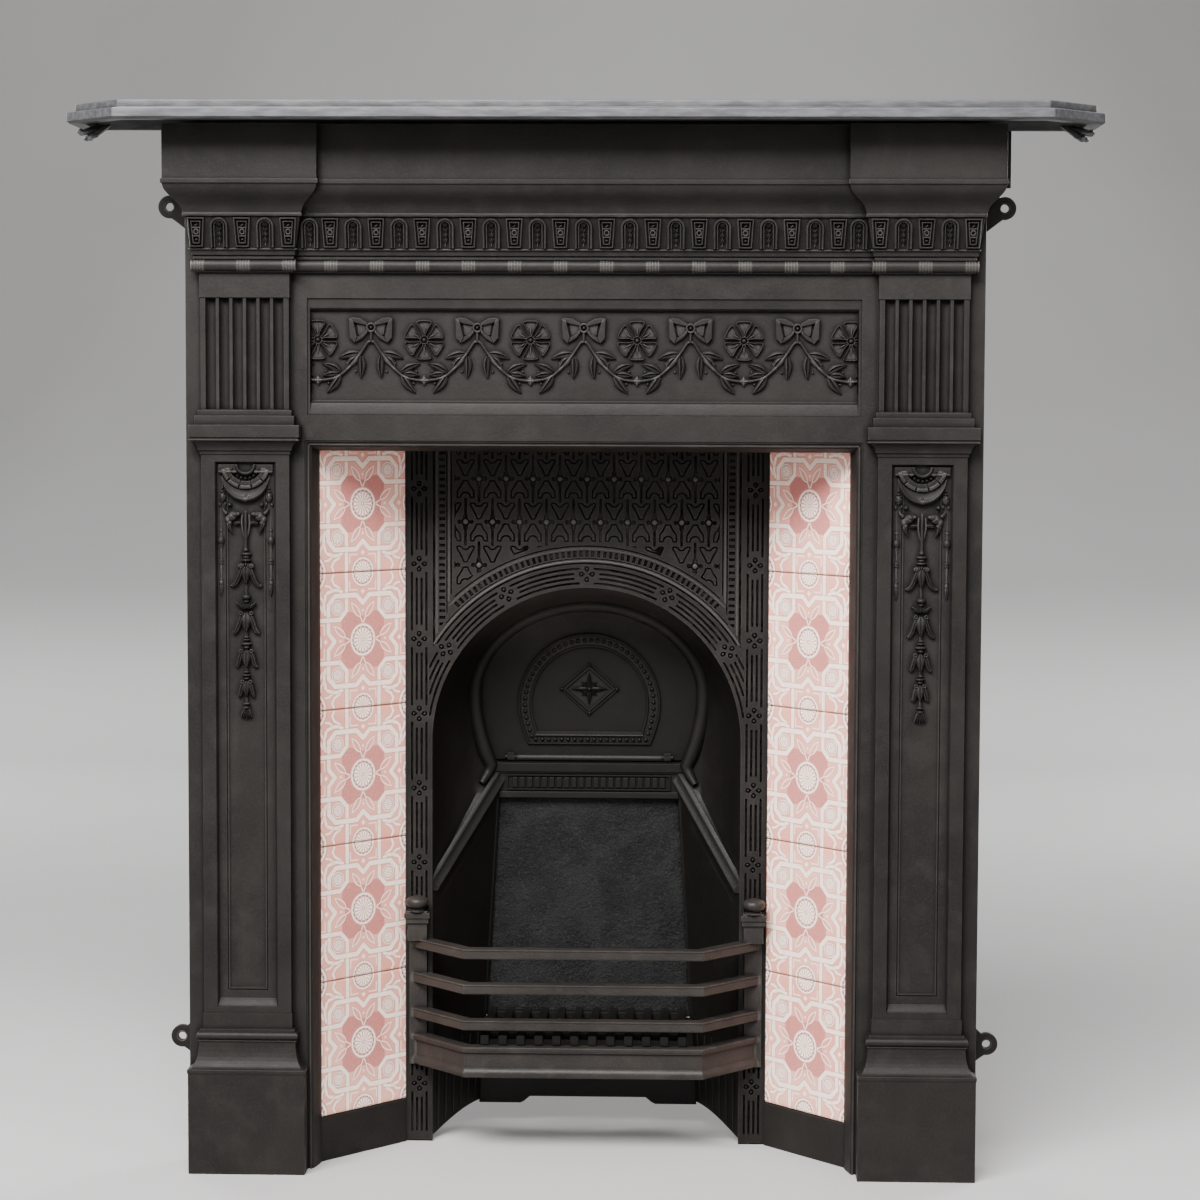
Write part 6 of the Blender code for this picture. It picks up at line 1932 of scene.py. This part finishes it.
def back_plate():
    """Plate below the brick with a stepped arch at its foot, the brick's shelf and a lip before it."""
    top = 0.127
    y0 = hood_back - 0.0025
    half_low = cheek_low + 0.0025
    half_top = cheek_point(top, 1.0)[0] + 0.0025
    arch = half_low * 0.62
    crown = arch * 0.86
    low = skirt_back - 0.004
    outline = [(-half_low, low), (-arch, low), (-arch * 0.94, low + 0.0025), (-crown, low + 0.008), (crown, low + 0.008),
               (arch * 0.94, low + 0.0025), (arch, low), (half_low, low), (half_top, top), (-half_top, top)]
    shapes = [filled(outline, [], y0, y0 + 0.005, 0.5 * mm)]
    reach = half_top * 0.9
    shapes.append(box(-reach, reach, y0 + 0.0025, 0.2815, top - 0.005, top, 0.0008))
    shapes.append(box(-half_top, half_top, y0 - 0.004, y0 + 0.003, top - 0.004, top, 0.0010))
    return shapes


def cheek_ribs():
    """Upright ribs at the foot of the cheek."""
    shapes = []
    for k in range(6):
        share = 0.10 + 0.15 * k
        low = skirt_front + (skirt_back - skirt_front) * math.sin(math.pi / 2 * share) + 0.004
        line = []
        for z in (low, (low + 0.112) / 2, 0.112):
            x, y = cheek_point(z, share)
            line.append((x, y, z))
        shapes.append(tube(line, [0.0010, 0.0019, 0.0010], 8))
    line = []
    for share in (0.10, 0.45, 0.80):
        z = ledge_front - 0.034 + (ledge_back - ledge_front) * share
        x, y = cheek_point(z, share)
        line.append((x + 0.0004, y, z))
    shapes.append(tube(line, [0.0006, 0.0012, 0.0006], 8))
    return shapes


def brick_seat():
    """Rib behind the cheek's rear edge, beside the brick."""
    rings = []
    for z in (skirt_back + 0.012, ledge_back):
        x = cheek_point(z, 1.0)[0]
        rings.append([(x + 0.0016, hood_back - 0.003, z), (x + 0.0041, hood_back + 0.001, z),
                      (x + 0.0041, hood_back + 0.011, z), (x + 0.0072, hood_back + 0.011, z),
                      (x + 0.0064, hood_back - 0.003, z)])
    return loft(rings)


def build_hood():
    shapes = [hood_shell(), throat_rim()] + both([ledge(), brick_seat()] + cheek_ribs()) + band() + back_plate()
    hood = make_object("hood_casting_detail", join(shapes), hood_iron, 38.0)
    return settle(hood, ["hood_casting"])


build_hood()


# ---- Flue damper ----

def lozenge():
    """Double-bordered lozenge with corner beads and a four-pointed leaf star."""
    def diamond(half_w, half_h):
        return [(half_w, 0.0), (0.0, half_h), (-half_w, 0.0), (0.0, -half_h)]

    wide, tall = 0.0350, 0.0310
    shapes = [filled(diamond(wide, tall), [diamond(wide * 0.93, tall * 0.93)], -0.0022, 0.0010, 0.4 * mm),
              filled(diamond(wide * 0.885, tall * 0.885), [diamond(wide * 0.76, tall * 0.76)], -0.0026, 0.0010, 0.5 * mm),
              stack([(-1.0 * mm, diamond(wide * 0.97, tall * 0.97)), (0.6 * mm, diamond(wide * 0.96, tall * 0.96))])]
    for x, z in ((0.0322, 0.0), (-0.0322, 0.0), (0.0, 0.0285), (0.0, -0.0285)):
        shapes.append(ball(x, -0.0010, z, 0.0026, 0.0034, 0.0026, 12, 6))
    for k in range(4):
        angle = k * math.pi / 2
        reach = 0.0215 if k % 2 == 0 else 0.0190
        tip = (reach * math.cos(angle), reach * math.sin(angle))
        shapes.append(leaf((0.0, 0.0), tip, 0.0058, 0.0036, blunt=0.7, steps=8, groove=-0.25))
        turn = angle + math.pi / 4
        for swing in (-0.30, 0.0, 0.30):
            spread = 0.0120 if swing == 0.0 else 0.0098
            end = (spread * math.cos(turn + swing) * 1.10, spread * math.sin(turn + swing))
            shapes.append(leaf((0.0015 * math.cos(turn), 0.0015 * math.sin(turn)), end, 0.0030, 0.0026, steps=6))
    shapes.append(ball(0.0, -0.0020, 0.0, 0.0030, 0.0036, 0.0030, 12, 6))
    return shapes


def panel_line(half, bottom, taper, crown):
    """Horseshoe outline of the flap's panel: straight foot, sides that lean out, round head."""
    centre = crown - half
    points = [(-half * taper, bottom)]
    points += [(-half * taper - half * (1 - taper) * math.sin(math.pi / 2 * k / 6),
                bottom + (centre - bottom) * k / 6) for k in range(1, 6)]
    points += [(half * math.cos(math.pi - math.pi * k / 28), centre + half * math.sin(math.pi * k / 28))
               for k in range(29)]
    points += [(half * taper + half * (1 - taper) * math.sin(math.pi / 2 * k / 6),
                bottom + (centre - bottom) * k / 6) for k in range(5, 0, -1)]
    return points + [(half * taper, bottom)]


def build_damper():
    foot, hinge, lean = flap_foot, flap_hinge, flap_lean
    face = -0.005
    lap = -0.003
    outline = full_arch(throat_jamb(throat_foot_half + lap, throat_half + lap, foot)
                        + throat_arc(throat_half + lap, throat_top + lap))
    shapes = [filled(outline, [], face, 0.0, 0.5 * mm)]
    front = []
    outer = panel_line(0.0838, 0.4500, 0.86, 0.5815)
    front.append(filled(outer, [panel_line(0.0812, 0.4522, 0.86, 0.5790)], -0.0030, 0.001, 0.8 * mm))
    front.append(filled(panel_line(0.0812, 0.4522, 0.86, 0.5790), [panel_line(0.0700, 0.4600, 0.90, 0.5680)],
                        -0.0006, 0.001, 0.2 * mm))
    front.append(filled(panel_line(0.0700, 0.4600, 0.90, 0.5680), [panel_line(0.0672, 0.4655, 0.90, 0.5652)],
                        -0.0024, 0.001, 0.8 * mm))
    sill = [(-0.0640, 0.4600), (0.0640, 0.4600), (0.0612, 0.4660), (-0.0612, 0.4660)]
    front.append(stack([(-1.0 * mm, sill), (3.0 * mm, [(-0.0640, 0.4604), (0.0640, 0.4604), (0.0632, 0.4616),
                                                       (-0.0632, 0.4616)]),
                        (3.2 * mm, [(-0.0638, 0.4606), (0.0638, 0.4606), (0.0634, 0.4612), (-0.0634, 0.4612)])]))
    course = panel_line(0.0756, 0.4560, 0.88, 0.5738)
    closed = course + [course[0]]
    gaps = [math.hypot(b[0] - a[0], b[1] - a[1]) for a, b in zip(closed, closed[1:])]
    total = sum(gaps)
    count = 60
    for k in range(count):
        reach = (k + 0.5) * total / count
        for (start, end), gap in zip(zip(closed, closed[1:]), gaps):
            if reach <= gap:
                share = reach / gap
                x = start[0] + (end[0] - start[0]) * share
                z = start[1] + (end[1] - start[1]) * share
                front.append(ball(x, -0.0010, z, 0.00245, 0.0024, 0.00245, 10, 6))
                break
            reach -= gap
    front += [shifted(item, 0.0, 0.0, 0.5160) for item in lozenge()]
    shapes += [shifted(item, 0.0, face, 0.0) for item in front]
    lug = box(0.092 - 0.0045, 0.092 + 0.0045, face - 0.004, face / 4, foot - 0.0005, foot + 0.009, 0.0010)
    pin = tube([(0.0855, face - 0.0015, foot + 0.0036), (0.0985, face - 0.0015, foot + 0.0036)], 0.0024, 12)
    shapes += both([lug, pin])
    roll = [(face - 0.0020, foot - 0.0002), (face - 0.0024, foot + 0.0016), (face - 0.0018, foot + 0.0038),
            (face - 0.0004, foot + 0.0054), (face / 2, foot + 0.0058), (face / 2, foot - 0.0002)]
    shapes.append(loft([[(x, y, z) for y, z in roll] for x in (-0.0870, 0.0870)]))

    def place(x, y, z):
        rise = z - foot
        return (x, hinge + y * math.cos(lean) - rise * math.sin(lean), foot + y * math.sin(lean) + rise * math.cos(lean))

    flap = make_object("flue_damper_detail", warp(join(shapes), place), hood_iron, 38.0)
    return settle(flap, ["flue_damper"], flap_body)


build_damper()


# ---- Firebrick ----

def build_brick():
    """Slab with rounded sides and a rough, pitted face."""
    y0, y1 = hood_back + 0.0038, 0.2898
    low, top = 0.1273, 0.4174

    def half_at(z):
        return cheek_point(z, 1.0)[0] + 0.0038

    columns, rows = 120, 150
    radius = 0.008
    grid = []
    for r in range(rows + 1):
        z = low + (top - low) * r / rows
        line = []
        for c in range(columns + 1):
            x = half_at(z) * (2 * c / columns - 1)
            edge = min(half_at(z) - abs(x), radius)
            foot = min(top - z, 0.006)
            drop = radius - math.sqrt(max(0.0, radius ** 2 - (radius - edge) ** 2))
            drop += 0.006 - math.sqrt(max(0.0, 0.006 ** 2 - (0.006 - foot) ** 2))
            rough = 0.00050 * noise.noise(Vector((x * 190, z * 190, 1.7))) + 0.0010 * noise.noise(
                Vector((x * 520, z * 520, 5.1)))
            rough *= 1.0 + 1.4 * max(0.0, 1 - edge / radius)
            broad = 0.0006 * noise.noise(Vector((x * 26, z * 26, 9.3)))
            fade = min(1.0, min(half_at(z) - abs(x), z - low, top - z) / 0.003)
            y = y0 + min(drop, 0.0055) + 0.0012 + (rough + broad) * fade
            line.append((x, max(y0 + 0.0002, y), z))
        grid.append(line)
    verts = [point for line in grid for point in line]
    width = columns + 1
    faces = [(r * width + c, r * width + c + 1, (r + 1) * width + c + 1, (r + 1) * width + c)
             for r in range(rows) for c in range(columns)]
    rim = list(range(width)) + [r * width + columns for r in range(1, rows + 1)]
    rim += [rows * width + c for c in range(columns - 1, -1, -1)] + [r * width for r in range(rows - 1, 0, -1)]
    start = len(verts)
    verts += [(verts[index][0], y1, verts[index][2]) for index in rim]
    size = len(rim)
    faces += [(rim[k], rim[(k + 1) % size], start + (k + 1) % size, start + k) for k in range(size)]
    faces.append(tuple(range(start, start + size)))
    brick = make_object("fireback_brick_rough", (verts, faces), firebrick, 60.0)
    return settle(brick, ["fireback_brick"])


build_brick()


# ---- Bottom grate ----

def build_grate():
    low = 0.1273
    top = low + 0.012
    front, back = 0.088, hood_back - 0.0028
    half = cheek_point(top, 1.0)[0] - 0.003
    pitch = (2 * half - 0.010) / 11
    shapes = []
    for y in (front + 0.024, back - 0.018):
        shapes.append(box(-half, half, y, y + 0.012, low + 0.0018, top - 0.0018, 0.0012))
    for index in range(12):
        x = -half + index * pitch
        shapes.append(box(x, x + 0.010, front, back, low, top, 0.0018))
    grate = make_object("bottom_grate_detail", join(shapes), hood_iron)
    return settle(grate, ["bottom_grate"])


build_grate()


# ---- Front bars ----

bars_front = 0.080
bars_corner = 0.135
bars_end = 0.202
bars_back = plate_depth - 2 * fit_gap


def bar_plan(inset, depth=0.016):
    cant = math.atan2(bars_back - bars_front, bars_end - bars_corner)
    turn = math.tan(cant / 2)

    def line(step):
        shift = step / math.sin(cant)
        return [(bars_end - shift, bars_back), (bars_corner - step * turn, bars_front + step),
                (-bars_corner + step * turn, bars_front + step), (-bars_end + shift, bars_back)]

    return line(inset) + line(depth)[::-1]


def bar_levels(levels, depth=0.016):
    return loft([[(x, y, z) for x, y in bar_plan(inset * mm, depth - back * mm)] for z, inset, back in levels])


def end_post(x):
    """Flat post behind the bars' ends, with a stepped pedestal and a flattened knob."""
    y1 = bars_back - 0.001
    shapes = [box(x - 0.0100, x + 0.0100, y1 - 0.0028, y1, 0.0915, 0.262, 0.0006)]
    for half, front, low, high in ((0.0112, 0.0150, 0.2365, 0.2580), (0.0132, 0.0172, 0.2570, 0.2632),
                                   (0.0146, 0.0188, 0.2628, 0.2692), (0.0120, 0.0178, 0.2690, 0.2712)):
        shapes.append(box(x - half, x + half, y1 - front, y1, low, high, 0.0009))
    levels = [(0.2706, 0.0094), (0.2722, 0.0098), (0.2734, 0.0080), (0.2744, 0.0074), (0.2754, 0.0090),
              (0.2770, 0.0114), (0.2790, 0.0127), (0.2812, 0.0132), (0.2836, 0.0128), (0.2856, 0.0112),
              (0.2872, 0.0084), (0.2882, 0.0050), (0.2887, 0.0010)]
    shapes.append(turned(x, bars_back - 0.0135, levels, 28))
    return shapes


def build_bars():
    shapes = []
    for top in (0.238, 0.198, 0.157):
        shapes.append(bar_levels([(top - 0.0112, 1.6, 1.2), (top - 0.0109, 0.7, 0.5), (top - 0.0100, 0.1, 0.0),
                                  (top - 0.0090, 0.0, 0.0), (top - 0.0026, 0.0, 0.0), (top - 0.0024, 0.5, 0.0),
                                  (top - 0.0016, 0.5, 0.0), (top - 0.0014, 0.1, 0.0), (top - 0.0004, 0.2, 0.0),
                                  (top, 0.8, 0.6)]))
    shapes.append(bar_levels([(0.0920, 1.8, 1.6), (0.0924, 0.8, 0.8), (0.0936, 0.2, 0.3), (0.0965, 0.0, 0.0),
                              (0.0982, 0.3, 0.0), (0.1000, 1.2, 0.0), (0.1012, 2.0, 0.0), (0.1030, 2.3, 0.0),
                              (0.1034, 2.8, 0.0), (0.1198, 2.8, 0.0), (0.1202, 2.2, 0.0), (0.1206, 0.6, 0.0),
                              (0.1210, 0.4, 0.0), (0.1222, 0.4, 0.0), (0.1226, 0.0, 0.0), (0.1258, 0.0, 0.0),
                              (0.1266, 0.6, 0.2), (0.1270, 1.6, 0.8)]))
    for side in (-1, 1):
        shapes += end_post(side * 0.192)
    bars = make_object("front_bars_detail", join(shapes), bar_iron)
    return settle(bars, ["front_bars"])


bar_iron = iron_material("bar_iron", (0.0110, 0.0096, 0.0086), (0.0190, 0.0160, 0.0138), (0.080, 0.073, 0.066), rub=0.8,
                         rough=0.44, metallic=0.0, specular=0.20)
build_bars()


# ---- Floor, light and camera ----

def floor_material():
    """Plain paper with painted light and shade: lighter near the front, darker behind the piece, lighter again far
    back, and darker up the backdrop.
    """
    material, tree, shader = node_material("studio_floor")
    t = Tree(tree)
    place = t.node("ShaderNodeTexCoord").outputs["Object"]
    axes = t.node("ShaderNodeSeparateXYZ", {"Vector": place})
    drift = t.noise(place, 0.9, 3.0, 0.5)
    # Painted falloff of light on the floor: lighter near the front, darker behind the piece, lighter again far back.
    floor = t.mix(t.ramp(axes.outputs["Y"], -0.2, 1.3), (0.39, 0.377, 0.373), (0.290, 0.287, 0.285))
    floor = t.mix(t.ramp(axes.outputs["Y"], 1.0, 3.6), floor, (0.460, 0.456, 0.453))
    # Painted shade up the backdrop: darker higher up.
    wall = t.mix(t.ramp(axes.outputs["Z"], 0.10, 1.10), (0.270, 0.265, 0.263), (0.225, 0.219, 0.216))
    colour = t.mix(t.ramp(axes.outputs["Z"], 0.02, 0.40), floor, wall)
    t.put(shader.inputs["Base Color"], t.mix(t.ramp(drift, 0.3, 0.7), colour, t.mix(0.04, colour, (0.9, 0.9, 0.9))))
    t.put(shader.inputs["Roughness"], t.math("ADD", 0.50, t.math("MULTIPLY", drift, 0.12)))
    shader.inputs["Specular IOR Level"].default_value = 0.3
    return material


def build_stage():
    """Floor that curves up into a backdrop, far enough away for views from behind the piece."""
    half, near, far, radius, height = 7.0, -7.0, 4.8, 1.3, 6.0
    profile = [(near, 0.0)] + [(far - radius + radius * math.sin(math.pi / 2 * k / 24),
                                radius - radius * math.cos(math.pi / 2 * k / 24)) for k in range(25)]
    profile.append((far, height))
    verts = [(x, y, z) for y, z in profile for x in (-half, half)]
    faces = [(2 * k, 2 * k + 1, 2 * k + 3, 2 * k + 2) for k in range(len(profile) - 1)]
    mesh = bpy.data.meshes.new("studio")
    mesh.from_pydata(verts, [], faces)
    mesh.shade_smooth()
    mesh.materials.append(floor_material())
    studio = bpy.data.objects.new("studio", mesh)
    bpy.context.scene.collection.objects.link(studio)


def area_light(name, place, target, size, power, colour=(1.0, 1.0, 1.0)):
    data = bpy.data.lights.new(name, "AREA")
    data.shape = "RECTANGLE"
    data.size, data.size_y = size
    data.energy = power
    data.color = colour
    lamp = bpy.data.objects.new(name, data)
    lamp.location = place
    lamp.rotation_euler = (Vector(target) - Vector(place)).to_track_quat("-Z", "Y").to_euler()
    lamp.visible_camera = False
    bpy.context.scene.collection.objects.link(lamp)


def build_camera():
    """Camera fitted to the tile joints, plinths, shelf and bars."""
    yaw, pitch, roll = (math.radians(value) for value in (-1.712, 4.037, 0.215))
    forward = Vector((math.sin(yaw) * math.cos(pitch), math.cos(yaw) * math.cos(pitch), -math.sin(pitch)))
    level = Vector((math.cos(yaw), -math.sin(yaw), 0.0))
    up = level.cross(forward)
    right = math.cos(roll) * level + math.sin(roll) * up
    top = -math.sin(roll) * level + math.cos(roll) * up
    data = bpy.data.cameras.new("camera")
    data.sensor_width = 36.0
    data.lens = 87.3
    data.clip_end = 30.0
    view = bpy.data.objects.new("camera", data)
    view.matrix_world = Matrix.Translation((0.1137, -3.2583, 0.8603)) @ Matrix((right, top, -forward)).transposed().to_4x4()
    bpy.context.scene.collection.objects.link(view)
    bpy.context.scene.camera = view


build_stage()
area_light("key", (-0.85, -2.60, 3.20), (0.0, 0.0, 0.6), (2.8, 1.5), 610.0)
area_light("fill_right", (3.0, -3.2, 1.9), (0.0, 0.0, 0.6), (1.6, 1.6), 56.0)
area_light("fill_left", (-3.4, -2.8, 1.6), (0.0, 0.0, 0.5), (1.4, 1.6), 46.0)
area_light("back_right", (2.9, 2.9, 2.3), (0.0, 0.0, 0.6), (1.8, 1.8), 200.0)
area_light("back_left", (-2.9, 3.1, 2.0), (0.0, 0.0, 0.6), (1.8, 1.8), 120.0)
world = bpy.data.worlds.new("studio_air")
world.use_nodes = True
world.node_tree.nodes["Background"].inputs["Color"].default_value = (0.60, 0.60, 0.61, 1.0)
world.node_tree.nodes["Background"].inputs["Strength"].default_value = 0.25
bpy.context.scene.world = world
build_camera()
